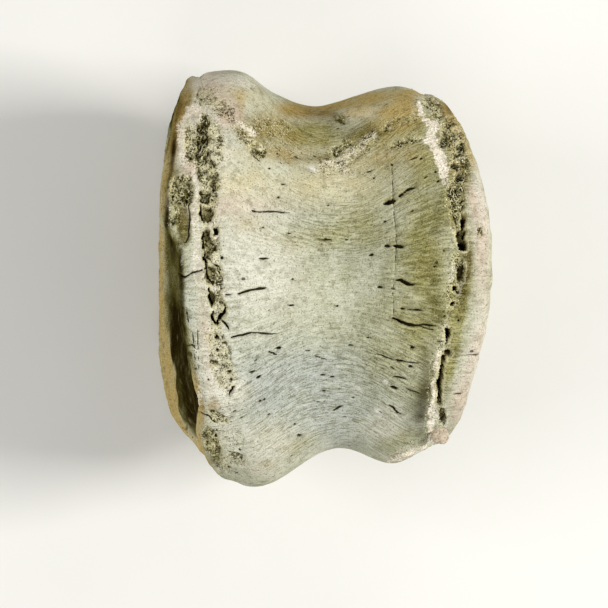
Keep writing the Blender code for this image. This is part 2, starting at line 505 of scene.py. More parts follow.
@dataclass(frozen=True)
class Spot:
    """An oval place on the surface, named by its middle pixel and its half sizes in pixels."""

    u: float
    v: float
    half_width: float
    half_height: float
    turn_deg: float = 0.0

    def shares(self, u: Rows, v: Rows) -> tuple[Rows, Rows]:
        """How far pixels lie across and down the oval.

        Args:
            u: Pixel columns.
            v: Pixel rows.

        Returns:
            Both distances for each pixel, as shares of the oval's half sizes.
        """
        turn = math.radians(self.turn_deg)
        across = ((u - self.u) * math.cos(turn) + (v - self.v) * math.sin(turn)) / self.half_width
        down = ((v - self.v) * math.cos(turn) - (u - self.u) * math.sin(turn)) / self.half_height
        return across, down

    def distance(self, u: Rows, v: Rows) -> Rows:
        """Pixels from the oval's edge, less than 0 inside it.

        Args:
            u: Pixel columns.
            v: Pixel rows.

        Returns:
            The distance for each pixel.
        """
        across, down = self.shares(u, v)
        power = OVAL_SQUARENESS
        reach = (np.abs(across) ** power + np.abs(down) ** power) ** (1.0 / power)
        return (reach - 1.0) * min(self.half_width, self.half_height)


@dataclass(frozen=True)
class Hollow(Spot):
    """A cavity or a stippled patch: how deep it is, and how spongy the bone in it shows, from 0 to 1."""

    depth: float = 0.0
    sponge: float = 0.8


@dataclass(frozen=True)
class Stain(Spot):
    """A soft patch of colour."""

    strength: float = 1.0

    def cover(self, u: Rows, v: Rows) -> Rows:
        """Share of the colour at each pixel, which falls off softly around the spot."""
        across, down = self.shares(u, v)
        return self.strength * np.exp(-(across**2 + down**2))


@dataclass(frozen=True)
class Slit:
    """A crack, or the mouth of a blood vessel's canal, along a path of pixels, tapering to its ends."""

    path: tuple[tuple[float, float], ...]
    width: float = 2.0
    depth: float = 1.2
    taper: float = 0.75
    ragged: float = 0.45

    def distance(self, u: Rows, v: Rows) -> Rows:
        """Pixels from the slit's edge, less than 0 inside it.

        Args:
            u: Pixel columns.
            v: Pixel rows.

        Returns:
            The distance for each pixel.
        """
        points = np.array(self.path, dtype=float)
        lengths = np.hypot(*np.diff(points, axis=0).T)
        whole = lengths.sum()
        nearest = np.full(np.shape(u), 1e3)
        gone = 0.0
        for start, end, length in zip(points[:-1], points[1:], lengths):
            step = (end - start) / length
            share = np.clip((u - start[0]) * step[0] + (v - start[1]) * step[1], 0.0, length)
            away = np.hypot(u - start[0] - share * step[0], v - start[1] - share * step[1])
            middle = np.abs(2.0 * (gone + share) / whole - 1.0)
            nearest = np.minimum(nearest, away - 0.5 * self.width * (1.0 - self.taper * middle**2))
            gone += length
        return nearest


@dataclass(frozen=True)
class Crevice(Slit):
    """The dark, ragged edge of a cavity."""

    taper: float = 0.5
    ragged: float = 1.3


@dataclass(frozen=True)
class Ridge(Slit):
    """Bone left standing along a path, as a bridge or a crumbling lip. Its depth is from the old skin."""

    pale: float = 0.8
    sponge: float = 0.3
    taper: float = 0.3


def pore(u: float, v: float, length: float, width: float) -> Slit:
    """The mouth of a small vessel canal, lying along the bone's grain."""
    return Slit(((u - 0.5 * length, v), (u + 0.5 * length, v)), width=width, depth=0.5 * width)


# Each hollow is its column, row, half width, half height, turn in degrees, depth in millimetres and sponge.
# Cavities along the front suture, from the top of the picture down, and the spongy patches beside them
FRONT_SUTURE_HOLLOWS = (
    (206, 121, 4.5, 6, -20, 1.5, 1), (202.5, 136, 7, 13, 0, 2.1, 1), (202, 155, 7.5, 9, 0, 1.7, 1),
    (190.5, 144, 7, 18, 5, 0.25, 0.75), (216, 142, 7, 22, -8, 0.2, 0.66), (208, 174, 10, 16, -14, 0.45, 0.8),
    (214, 184, 4, 7, 0, 1.2, 1), (204, 196, 7, 6, 0, 1.6, 1), (212, 200, 6, 8, 0, 0.4, 0.75),
    (207, 213, 7, 8.5, 10, 2.2, 0.5), (207.5, 234, 5, 7, 0, 2.3, 0.4), (215.5, 230.5, 3.6, 5, 0, 2, 0.5),
    (209, 248, 5.5, 13, -4, 2, 0.6), (215, 248, 3.2, 4.5, 0, 2, 0.8), (211, 276, 6.5, 9.5, 0, 2, 0.6),
    (218, 275, 4.5, 12, -4, 0.8, 0.8), (220.8, 287, 2.2, 4.5, 0, 1.6, 0.6),
    (211.8, 298, 4.4, 8.5, -5, 2.2, 0.4), (218, 299, 4.5, 8, -5, 0.5, 0.75),
    (224.5, 305, 1.6, 4.5, -20, 1, 0.9), (214, 342, 9, 14, -10, 0.12, 0.62),
    (217.5, 338.5, 2.8, 2.2, 0, 2.6, 0.2), (224, 344, 3.2, 1.6, 10, 1.3, 0.5),
    (217, 351.6, 2.2, 1.8, 0, 2, 0.3), (219.6, 356.4, 1.2, 2, 0, 1.2, 0.3),
    (215, 363.6, 4.4, 3.2, 0, 0.9, 0.9), (221.5, 361.5, 2.4, 1.4, 0, 0.9, 0.6),
    (228.5, 374, 3.4, 3, 0, 1.5, 0.5), (232, 380.6, 1.5, 2.6, 0, 1.3, 0.4),
    (234, 387.6, 2.2, 1.8, 0, 1.5, 0.4), (213, 249, 8, 34, -3, 0.4, 0.6), (217, 308, 8, 26, -8, 0.25, 0.55),
    (221, 358, 11, 36, -14, 0.14, 0.6), (218, 418, 10, 5, 25, 0.45, 0.75), (211, 441, 8, 14, -20, 0.35, 0.72),
    (218, 452, 4, 4.5, 0, 0.8, 0.8), (228, 446, 16, 18, 20, 0.1, 0.45), (237, 458, 11, 6, 20, 0.2, 0.6),
    (222, 464, 10, 6, 35, 0.2, 0.6),
)

# Cavities along the rear suture, from the top down, with the spongy bone beside them
REAR_SUTURE_HOLLOWS = (
    (432, 104, 9, 6, 5, 0.3, 0.75), (438, 113, 6, 8, -20, 0.4, 0.75), (448, 133, 6.5, 12, -22, 0.8, 0.95),
    (443.5, 140, 3.6, 7, 0, 1.9, 0.95), (460, 147, 4.6, 6, 0, 1.4, 0.95), (455, 165, 4.6, 4.5, 0, 1.9, 0.95),
    (462, 168, 8, 9, -20, 0.7, 0.9), (459.5, 177, 5, 5.5, 0, 2.2, 0.9), (456, 190, 9, 9, 0, 0.8, 0.95),
    (456, 204, 9.5, 13, 0, 0.7, 0.95), (463.6, 222, 3, 9, 0, 4.4, 0.3), (460.5, 235, 5, 7, 0, 2.6, 0.7),
    (465, 236, 1.6, 8, 0, 5, 0.2), (462.5, 245.5, 5, 5.5, 0, 5.4, 0.1), (455, 226, 4, 16, 0, 0.5, 0.75),
    (461, 273, 3.6, 9, 8, 3, 0.5), (455.7, 288.2, 2.8, 2.8, 0, 4.6, 0.1),
    (458.6, 291.6, 1.6, 2.2, 0, 2.2, 0.1), (452.8, 304.2, 2.3, 2.3, 0, 4.6, 0),
    (447.5, 334, 2.4, 7.5, -4, 3.8, 0.4), (448.4, 354, 4.4, 3.8, 0, 3.4, 0.4),
    (443.6, 360, 3.4, 3.6, 30, 3.8, 0.3), (441.2, 372, 2.4, 12, 4, 5, 0.2),
    (439.2, 393, 2.6, 14, 0, 4.6, 0.2), (442.5, 417, 4, 8, 0, 2.2, 0.7), (438.8, 437.5, 2.2, 3, 0, 2.4, 0.3),
    (458, 262, 6, 8, 0, 0.5, 0.8), (453, 292, 7, 26, 8, 0.2, 0.55), (445, 338, 6, 24, 10, 0.2, 0.5),
    (432, 396, 6, 40, 6, 0.15, 0.55), (412, 447, 24, 6, -22, 0.12, 0.45), (453, 134, 11, 18, -24, 0.2, 0.66),
    (461, 158, 8, 15, -18, 0.25, 0.7), (460, 182, 7, 12, -8, 0.3, 0.8), (481, 231, 3.4, 5.2, -8, 0.35, 0.85),
)

# Spongy patches where the outer bone is worn off the flanks
FLANK_HOLLOWS = (
    (183, 190, 12.5, 15, 8, 0.8, 1), (173.5, 214, 6, 13, 0, 0.2, 0.65), (184, 226, 7, 19, -4, 1, 0),
    (204, 98, 9, 12, 25, 0.2, 0.6), (222, 108, 15, 8, 38, 0.2, 0.62), (238, 125, 13, 5, 38, 0.2, 0.6),
    (257, 150, 9, 7, 40, 0.45, 0.95), (246, 139, 9, 6, 40, 0.15, 0.62), (219, 152, 2.2, 2.2, 0, 0.7, 0.3),
    (272, 128, 24, 10, 6, 0.1, 0.5), (280, 150, 26, 9, 10, 0.05, 0.4), (341, 119, 5, 4, 30, 0.3, 0.85),
    (389, 126, 5, 4, 0, 0.5, 0.75), (408, 142, 16, 2.6, -14, 0.4, 0.8), (343, 148, 14, 6, -30, 0.25, 0.75),
    (348, 155, 34, 9, -30, 0.12, 0.6), (400, 121, 23, 5, -17, 0.12, 0.58), (198, 352, 8, 30, -4, 0.05, 0.38),
)

# Mouths of small vessel canals: column, row, length and width
PORES = (
    (251.8, 87.2, 2.4, 1.8), (277.2, 153.1, 2.4, 1.5), (392.1, 163.8, 2.6, 1.7), (421.7, 157.9, 2.6, 1.8),
    (269.6, 167.6, 2, 2), (435.7, 170.8, 2.2, 1.9), (283, 183.8, 2.8, 1.5), (374.1, 177.1, 2.6, 1.8),
    (278, 197, 2, 2), (328, 205, 2.8, 1.4), (385, 221, 2.4, 1.5), (263.5, 227, 1.8, 1.5),
    (289.2, 233, 2.4, 1.5), (372.1, 254.4, 5, 2), (387.8, 245.5, 6.4, 2.2), (444, 250.5, 2, 1.4),
    (222.1, 257.5, 2.3, 3), (434.4, 266.2, 2.4, 1.4), (293, 279, 2.4, 1.5), (380.1, 287.4, 5, 2.4),
    (227.8, 295, 5.7, 1.4), (291.5, 305.4, 7, 1.6), (337, 306, 2.8, 1.8), (403, 309, 6, 1.8),
    (444.5, 316, 1.8, 1.5), (459, 321.1, 2.1, 1.8), (368, 338, 3.2, 1.6), (439.5, 341.9, 7.1, 1),
    (278.7, 348.8, 5.8, 2.4), (308, 351, 6.3, 1), (350.4, 345.6, 3.2, 1.6), (412.6, 347.9, 4.1, 2),
    (194.2, 369.2, 2, 1.8), (410.3, 367.1, 3.5, 2.2), (208.5, 380, 1.8, 1.7), (323.3, 375.8, 5.6, 1.4),
    (332, 377.5, 4.1, 1.6), (324, 391.6, 3.2, 1.7), (353.1, 398.3, 3, 1.4), (268.6, 415.6, 2.4, 2.3),
    (294.7, 424.9, 1.8, 2.6), (206.5, 443.3, 1.9, 1.7), (299, 436.6, 4, 2.6), (229.5, 468, 2.2, 1.8),
    (237.1, 473.8, 1.8, 1.8),
)

# Mouths of larger canals, and cracks on the flanks: path, width in pixels, depth in millimetres and taper
VESSEL_SLITS = (
    (((384, 203), (389, 201.4), (396, 199.4)), 4.4, 2.2), (((399, 196.4), (404, 192)), 2.2, 1.2),
    (((404, 192), (409, 188.4), (415.4, 187)), 2.4, 1.2), (((394, 245), (404, 246.6)), 3.4, 1.6),
    (((397, 280), (401, 280.4), (407, 283.4), (414.4, 284.8)), 3.2, 1.7),
    (((406, 309.4), (414, 310)), 0.8, 0.5), (((413, 310.2), (421.6, 310.8)), 1.7, 1.2),
    (((393, 318.6), (400, 322.4), (408, 325.4), (420.6, 326.8)), 2.7, 2),
    (((419, 326.4), (424, 324.8), (429, 325.6), (436.4, 326.4)), 1.7, 1.2),
    (((420, 327.4), (427, 328.8), (434.4, 330.8)), 1.2, 0.9),
    (((378, 354.4), (388, 358.4), (396, 360.6)), 1.2, 0.8), (((396, 360.4), (404, 362)), 2, 1.2),
    (((404, 362), (419, 363.6)), 0.9, 0.5), (((393, 377.4), (400, 378.2), (407.6, 380.6)), 1.5, 1),
    (((391, 387), (397.6, 389.6)), 3, 1.2),
    (((389, 405.6), (394, 409), (397.4, 413.6), (402, 415)), 1.4, 0.9),
    (((332, 412), (339, 408), (343, 407)), 1.5, 0.9),
    (((238, 294), (246, 291.6), (256, 289.6)), 1.7, 1.2, 0.4),
    (((255, 290), (260, 288.8), (266, 287.4)), 2.4, 1.4), (((258.6, 258.2), (268, 258.4)), 1.7, 1),
    (((231.4, 338.2), (243, 335), (252, 332.6)), 1.6, 1.1, 0.4),
    (((250, 332.6), (258, 333), (269, 334.6), (277, 334.6)), 1.4, 1),
    (((267, 352.2), (272, 353.4), (277.4, 355.2)), 1.7, 1), (((249.6, 373.2), (254.8, 371.2)), 1.7, 1),
    (((256.6, 379.2), (260.6, 376.2)), 2.2, 1.2), (((258.8, 402.8), (261.4, 401)), 1.8, 0.8),
    (((263.6, 400.4), (266, 399.4)), 1.6, 0.6), (((252, 212), (268, 211), (291, 213)), 1.2, 0.6),
    (((251, 210), (256, 212)), 1.9, 0.8), (((316, 239), (333, 239.6)), 1, 0.5),
    (((437, 181.4), (440, 180)), 1.8, 0.9), (((234, 461), (236.6, 460)), 2, 0.8),
    (((239, 449.6), (240.2, 451.6)), 1.6, 0.7), (((216.4, 430.6), (218, 431.4)), 1.6, 0.8),
    (((215, 437), (217, 438)), 1.8, 0.8), (((314, 356), (329, 361)), 1, 0.5),
    (((410, 159.6), (418, 156.6)), 1.1, 0.5), (((366, 172.4), (373, 169.6)), 1.1, 0.5),
    (((404, 387), (421, 395)), 0.9, 0.4),
)
CRACK_SLITS = (
    (((392, 163), (393.5, 198), (395, 221), (396.6, 245)), 0.36, 0.6, 0.4),
    (((396.6, 245), (395.4, 268), (393.4, 296), (394, 319)), 0.36, 0.6, 0.4),
    (((176.6, 272.8), (184.5, 277), (192.5, 272.4), (202.4, 269.8)), 1.2, 0.9, 0.2),
    (((195.5, 411.5), (202, 413.6), (207, 416), (212, 421), (218, 424.6)), 1.4, 0.9),
    (((188.6, 205), (190, 220), (188.6, 236), (184.6, 245)), 1.3, 0.4, 0.5),
    (((187, 306), (186.4, 316), (189, 324)), 0.8, 0.5),
    (((191, 318), (192.6, 332), (193.4, 348), (194.4, 364)), 0.8, 0.5),
    (((197, 330), (198.4, 350), (198.2, 374)), 0.6, 0.5),
    (((187, 346), (192, 345.4), (196.6, 350)), 0.9, 0.5),
    (((221.6, 320.6), (226, 325), (229, 329.6)), 2, 1.3),
    (((234, 387), (231.4, 391.6), (229.4, 396)), 1.6, 1.2),
    (((466, 355.6), (474, 355), (481, 353)), 0.8, 0.4), (((452, 395), (462, 394)), 0.8, 0.4),
)

# Dark, ragged edges of the cavities
CREVICES = (
    (((225.5, 309), (224, 314), (220.4, 318.6), (216.6, 325)), 3, 2.6),
    (((216.6, 325), (212.6, 320.4), (211.4, 315.4), (214, 312.4)), 2.8, 2.6),
    (((203.4, 231), (203.2, 240), (204.2, 249)), 2.4, 3.2),
    (((204.8, 251), (204.8, 260), (205.6, 269)), 3, 3.6),
    (((206.2, 266), (207.8, 278), (212, 284.4)), 1.8, 2.6),
    (((209, 289), (209.4, 298), (212.4, 305.6)), 2.4, 3.2),
    (((200.4, 205), (201.2, 213), (203.4, 221)), 2.2, 3.2), (((215.6, 228), (217, 233.6)), 3, 2.4),
    (((213, 263), (218, 266), (219.4, 274)), 1.8, 1.6),
    (((441.4, 362), (442, 376), (439.6, 390), (439.4, 406)), 2.4, 6),
    (((445.6, 329), (450.4, 330), (450, 338), (446.6, 342)), 2, 4.6),
)

# Bridges of bone across the cavities, and pale lips of crumbling bone along the sutures: path, width, depth,
# paleness and sponge
RIDGES = (
    (((201, 222.6), (209, 224.6), (216, 221.6)), 3, 0.2, 0.8, 0.3),
    (((209, 226), (211.6, 231), (213.4, 238)), 2.4, 0.4, 0.8, 0.3),
    (((213.4, 238), (219, 236.6)), 2.2, 0.4, 0.8, 0.3), (((214, 254), (216, 263)), 5.5, 0.5, 0.8, 0.6),
    (((207, 288), (213, 289.4), (222, 286)), 2.6, 0.3, 0.8, 0.3),
    (((208.6, 308), (215, 309.6)), 3, 0.3, 0.5, 0.3), (((206, 147), (203, 157)), 2, 0.6, 0.8, 0.8),
    (((202, 190), (206, 188)), 3, 0.5, 0.8, 0.6),
    (((418.6, 104), (421, 112), (425, 119), (429, 124)), 5, -0.3, 0.75, 0.2),
    (((427, 121), (439, 126)), 7, -0.4, 0.9, 0.2),
    (((435, 128), (430, 134), (427, 142)), 9, -0.35, 0.8, 0.25),
    (((433, 138), (433.5, 148)), 8, -0.5, 1, 0.05),
    (((434, 149), (440, 156), (442.5, 166), (444, 176)), 10, -0.6, 1, 0.1),
    (((444, 176), (447, 186)), 8, -0.3, 0.5, 0.4), (((455, 160), (463, 156)), 8, 0.2, 0.5, 0.7),
    (((449, 198), (450, 212), (453, 232), (455, 250)), 5.5, -0.15, 0.3, 0.55),
    (((452, 262), (450, 285)), 4, -0.1, 0.5, 0.45), (((445, 322), (442.6, 344)), 3.4, -0.2, 0.55, 0.4),
    (((438, 350), (436, 372), (434, 392)), 5.5, -0.2, 0.7, 0.5),
    (((434, 390), (431.5, 412), (431, 438)), 8, -0.25, 0.75, 0.4),
    (((388, 461), (404, 456), (426, 446), (433, 438)), 5, -0.15, 0.7, 0.4),
    (((322, 163), (341, 162), (351, 152), (364, 142), (374, 135)), 11, -0.3, 0.55, 0.6),
    (((334, 168), (350, 172)), 9, -0.2, 0.5, 0.6), (((238, 122), (247, 128), (254, 135)), 7, -0.2, 0.6, 0.5),
    (((244, 138), (254, 143), (262, 150)), 5, -0.1, 0.5, 0.7),
    (((173.6, 228), (177, 240), (181, 252), (182.4, 266)), 2.2, -0.15, 0.4, 0),
    (((199, 386), (199.6, 398), (199, 408)), 4, -0.25, 0.6, 0.2),
    (((198, 105), (188, 111), (182.5, 122), (181, 142), (184, 160)), 8, -0.1, 0.5, 0.05),
    (((187, 121), (194, 112), (203, 107)), 7, -0.1, 0.5, 0.1),
    (((194, 171), (196, 182), (197.6, 196)), 6, -0.1, 0.5, 0.1),
    (((195, 196), (195.6, 225), (197, 258)), 9, 0, 0.45, 0), (((331, 166), (345, 170)), 4.5, -0.2, 0.5, 0.6),
    (((474, 174), (467.5, 188), (466, 204), (468.6, 216)), 4, -0.2, 0.3, 0.1),
)

# Column where the near rim's painted shadow and the soil in the front dish begin, at each row
DISH_SHADE = (
    (140, 168), (215, 165), (260, 166.8), (330, 168.6), (370, 174), (400, 178), (420, 182), (445, 191),
)

# Soft patches of colour on the side that the photograph shows: column, row, half width, half height, turn in
# degrees and strength
STAINS = {
    Tint.CREAM: (
        (252, 262, 60, 85, 0, 0.85), (481, 280, 9, 90, 0, 0.5), (480, 200, 11, 40, -8, 0.9),
        (469, 370, 14, 50, 14, 0.9), (268, 445, 50, 30, -10, 0.7), (194, 132, 22, 34, 8, 1),
        (222, 150, 22, 32, 0, 0.6), (212, 372, 22, 44, -10, 0.8), (215, 436, 22, 26, 0, 0.4),
        (330, 168, 30, 10, 0, 0.5), (190, 120, 12, 12, 0, 1.1), (186, 142, 8, 26, 0, 1.1),
        (236, 82, 26, 9, 8, 0.8), (222, 100, 18, 12, 30, 0.4), (196, 86, 14, 12, 0, 0.5),
        (246, 190, 40, 8, 0, 0.2), (372, 428, 26, 14, 0, 0.6), (238, 392, 16, 14, 0, 0.6),
        (392, 436, 16, 10, 0, 0.5), (360, 112, 16, 6, -8, 1.6), (318, 124, 22, 8, 0, 0.6),
        (389, 412, 16, 14, 0, 0.4), (222, 84, 26, 9, 8, 0.6), (229, 116, 12, 11, 0, 0.8),
        (215, 398, 10, 12, 0, 0.5), (196, 268, 5, 14, 0, 0.6), (199, 174, 6, 8, 0, 0.6),
        (206, 154, 12, 8, 0, 0.4), (200, 177, 6, 7, 0, 0.5), (456, 144, 6, 8, -20, 0.4),
    ),
    Tint.YELLOW: (
        (238, 183, 46, 22, 0, 0.5), (268, 154, 46, 9, 0, 0.4), (300, 240, 60, 20, 0, 0.2),
        (216, 134, 12, 26, 0, 0.4), (340, 200, 70, 20, 0, 0.25), (358, 112, 18, 7, -8, 1.2),
        (318, 128, 18, 8, 0, 0.6), (335, 180, 60, 22, 0, 0.45), (186, 140, 8, 30, 0, 0.6),
        (196, 110, 10, 8, 0, 0.5),
    ),
    Tint.OLIVE: (
        (322, 128, 26, 12, 0, 0.35), (310, 136, 34, 16, 0, 0.7), (412, 124, 20, 12, -10, 0.7),
        (424, 190, 34, 60, 0, 0.55), (428, 285, 36, 80, 0, 0.8), (330, 237, 70, 16, 0, 0.5),
        (398, 440, 24, 10, -20, 0.5), (208, 430, 9, 12, -20, 0.5), (456, 200, 9, 24, 0, 0.9),
        (450, 362, 4, 26, 8, 0.7), (372, 135, 30, 9, -24, 0.8), (183.5, 222, 7, 24, -4, 1.2),
        (213, 450, 12, 16, -20, 0.6), (462, 285, 8, 50, 6, 0.8), (356, 216, 28, 20, 0, 0.5),
        (385, 372, 60, 44, -10, 0.45), (456, 332, 6, 42, 8, 0.6), (300, 446, 24, 10, -28, 0.5),
        (395, 150, 40, 24, -10, 0.4), (274, 128, 30, 12, 4, 0.45), (318, 138, 30, 12, 0, 0.3),
        (455, 142, 12, 26, -22, 0.6), (467, 176, 5, 12, 0, 0.7), (424, 284, 12, 12, 0, 0.3),
    ),
    # The moss patches at (422, 402) and (426, 362) are painted shade, on the band left of the rear suture.
    Tint.MOSS: (
        (268, 128, 20, 9, 0, 0.45), (389, 126, 6, 5, 0, 0.8), (422, 402, 12, 44, 10, 0.5),
        (183, 191, 13, 17, 8, 0.6), (217, 452, 9, 9, 0, 0.6), (360, 131, 22, 8, -18, 0.9),
        (376, 134, 22, 5, -24, 0.6), (338, 117, 8, 5, 20, 1), (183, 224, 6, 21, -4, 1.4),
        (216, 461, 7, 6, 35, 0.6), (466, 257, 8, 16, 0, 0.8), (463, 280, 6, 34, 5, 1.3),
        (432, 240, 14, 50, 0, 0.3), (424, 300, 16, 40, 0, 0.25), (426, 362, 8, 24, 0, 0.4),
        (440, 206, 7, 26, 0, 0.5), (302, 158, 34, 6, -3, 0.6), (177, 122, 3, 18, 10, 0.5),
        (448, 110, 6, 9, -25, 1), (176, 176, 5, 18, 6, 0.6), (452, 206, 6, 22, 0, 0.35),
        (179, 108, 5, 18, 16, 0.6), (168, 180, 4, 20, 6, 0.3), (200, 400, 5, 22, -10, 0.35),
        (266, 92, 12, 6, 30, 0.3), (326, 156, 10, 4, -20, 0.6), (463, 206, 4, 16, 0, 0.6),
        (466, 264, 5, 14, 0, 0.5), (436, 302, 8, 28, 0, 0.4), (456, 351, 10, 9, 0, 0.45),
        (442, 317, 6, 7, 0, 0.4),
    ),
    Tint.BROWN: (
        (300, 112, 30, 11, 0, 0.65), (330, 114, 10, 4, 0, 0.6), (248, 140, 20, 8, 40, 0.4),
        (181, 98, 9, 24, 24, 0.95), (212, 406, 9, 9, 0, 0.65), (451, 134, 13, 26, -20, 0.7),
        (459, 170, 9, 14, -16, 0.9), (470, 262, 4, 50, 0, 0.2), (459, 320, 5, 40, 10, 0.2),
        (266, 124, 28, 14, 10, 0.35), (288, 140, 40, 14, 4, 0.45), (405, 103, 11, 9, -40, 0.9),
        (240, 109, 4, 15, 0, 0.5), (175, 120, 5, 26, 12, 0.8), (436, 108, 8, 9, -30, 0.3),
        (458, 230, 4, 10, 0, 0.9), (265, 464, 8, 5, 10, 0.45), (300, 108, 26, 8, 4, 0.5),
        (172, 160, 5.5, 38, 8, 0.95), (250, 178, 50, 6, 0, 0.15), (290, 158, 26, 8, 0, 0.4),
        (180, 112, 5, 18, 16, 0.9), (404, 100, 12, 8, -30, 0.6), (449, 110, 5, 9, -30, 1.2),
        (185, 228, 5, 18, -4, 0.4), (163, 215, 5, 30, 0, 0.6), (222, 98, 20, 9, 40, 0.3),
        (256, 118, 10, 9, 10, 0.2), (276, 152, 20, 6, 0, 0.25), (184, 104, 6, 12, 30, 0.9),
    ),
    # The tan patches at (164, 172) and (167, 180) are painted light: the lit far lip of the front dish.
    Tint.TAN: (
        (255, 96, 26, 14, 20, 0.35), (466, 236, 3, 24, 0, 0.5), (360, 99, 72, 7, -7, 0.9),
        (232, 92, 22, 8, 20, 0.35), (240, 108, 5, 14, 0, 0.35), (164, 172, 2.2, 30, 6, 0.9),
        (446, 112, 7, 16, -30, 0.5), (466, 148, 3.5, 22, -24, 1.3), (398, 110, 20, 8, -14, 0.8),
        (330, 104, 30, 6, 0, 0.5), (402, 124, 22, 10, -12, 0.45), (248, 224, 18, 10, 0, 0.4),
        (204, 96, 20, 12, 20, 0.4), (370, 160, 46, 12, -16, 0.25), (167, 180, 3.5, 30, 6, 0.4),
        (456, 122, 4, 14, -28, 0.9), (274, 436, 26, 18, 0, 0.25), (340, 300, 60, 50, 0, 0.15),
        (385, 114, 60, 22, -8, 0.3), (330, 152, 84, 16, 0, 0.3), (405, 160, 30, 36, 0, 0.3),
    ),
    Tint.GREY: (
        (350, 378, 66, 26, 0, 0.8), (340, 425, 60, 26, 0, 0.6), (190, 300, 9, 40, -3, 0.5),
        (350, 240, 60, 30, 0, 0.35), (255, 385, 44, 50, 0, 0.5), (232, 285, 14, 44, 0, 0.35),
        (305, 215, 36, 36, 0, 0.3), (300, 385, 110, 80, 0, 0.4),
    ),
    Tint.PINK: (
        (235, 207, 50, 14, 0, 0.4), (226, 104, 22, 14, 40, 0.5), (215, 75, 30, 12, 0, 0.35),
        (264, 470, 24, 12, 0, 0.35), (199, 262, 7, 70, -6, 0.35), (207, 350, 8, 50, -8, 0.4),
        (482, 240, 10, 80, 0, 0.6), (470, 370, 10, 50, 14, 0.6), (456, 410, 10, 24, 14, 0.4),
        (400, 458, 24, 8, -20, 0.5), (190, 168, 12, 12, 0, 0.7), (452, 124, 5, 16, -28, 0.3),
        (463, 140, 4, 22, -24, 0.3), (472, 200, 5, 30, -8, 0.5), (209, 88, 16, 9, 0, 0.4),
        (228, 118, 13, 12, 0, 0.8), (195, 114, 9, 9, 0, 0.5), (232, 206, 60, 16, 0, 0.15),
    ),
    Tint.WHITE: (
        (330, 452, 60, 14, 0, 0.35), (313, 169, 5, 3, 15, 0.9), (246, 428, 5, 4, 20, 0.5),
        (303, 405, 3, 3, 0, 0.6), (296, 389, 3, 3, 0, 0.6), (357, 388, 4, 3, 0, 0.8),
        (378, 411, 4, 4, 0, 0.9), (385, 382, 3, 3, 0, 0.8), (256, 186, 3, 8, 30, 0.4),
    ),
    # Painted shade: the thin dark line between the front plate's near rim and its far lip (columns 167 to
    # 174, rows 150 to 224) and the band left of the rear suture (columns 411 to 425, rows 398 to 428);
    # painted shade and soil along the near rim at (181, 268) and (183, 322).
    Tint.DARK: (
        (342, 119, 3.5, 2.5, 20, 0.9), (173.5, 150, 2.6, 18, 6, 1.1), (171.5, 172, 2.6, 14, 6, 0.5),
        (168.5, 186, 1.6, 10, 4, 0.8), (463, 178, 4, 5, 0, 0.7), (168, 200, 2, 10, 0, 0.7),
        (167.5, 216, 2, 10, 0, 0.7), (181, 268, 3, 36, -3, 0.9), (183, 322, 3, 30, -3, 0.9),
        (425, 398, 9, 40, 6, 0.28), (416, 428, 16, 14, -30, 0.2), (178.5, 110, 3.5, 14, 16, 0.3),
        (425, 400, 8, 40, 6, 0.25), (449, 110, 5, 8, -25, 0.6), (328, 158, 14, 6, -20, 0.3),
        (186, 412, 5, 12, -20, 0.3), (262, 92, 10, 6, 30, 0.2), (183, 106, 5, 12, 28, 0.3),
        (167, 224, 3, 14, 0, 0.7), (411, 405, 14, 16, 0, 0.2), (424, 416, 22, 9, -20, 0.16),
        (308, 449, 12, 6, 0, 0.2), (161, 232, 6, 55, 0, 0.22), (468, 352, 8, 8, 0, 0.2),
        (391, 224, 8, 7, 0, 0.15),
    ),
}


@dataclass
class Skin:
    """Places on a bone's unworn surface."""

    x: Rows
    angle: Rows
    radius: Rows
    lean: Rows
    outward: int = 1

    def points(self) -> Rows:
        """The places in the frame, in metres."""
        return FORM.place(self.x, self.radius, self.angle)

    def spots(self) -> Rows:
        """The places from the bone's middle, in millimetres."""
        return np.stack([self.x, self.radius * np.sin(self.angle), self.radius * np.cos(self.angle)], axis=-1)

    def grain(self) -> Rows:
        """The places unrolled so that the bone's grain runs straight along X.

        The grain fans out from the waist towards both ends. On an outer face it has no direction.

        Returns:
            The places in millimetres.
        """
        flare = GRAIN_FAN * ramp(np.abs(self.x - FORM.waist_x), 2.0, 32.0)
        angle = self.angle - flare * np.sin(2.0 * self.angle)
        tube = np.stack([self.x, GRAIN_RADIUS * np.sin(angle), GRAIN_RADIUS * np.cos(angle)], axis=-1)
        return tube + (self.spots() - tube) * ramp(self.lean, 0.2, 1.0)[..., None]

    def facing(self) -> Rows:
        """How squarely each place faces the camera.

        Returns:
            A number from -1 to 1 for each place, less than 0 where it faces away.
        """
        normals = FORM.flank_normal(self.x, self.angle) * (1.0 - self.lean)[..., None]
        normals[..., 0] += self.outward * self.lean
        return VIEW.facing(self.points(), normals)


@dataclass
class Wear:
    """What weather has done at each place of a skin."""

    drop: Rows
    hollow: Rows
    sponge: Rows
    pale: Rows
    slit: Rows
    tints: dict[Tint, Rows]


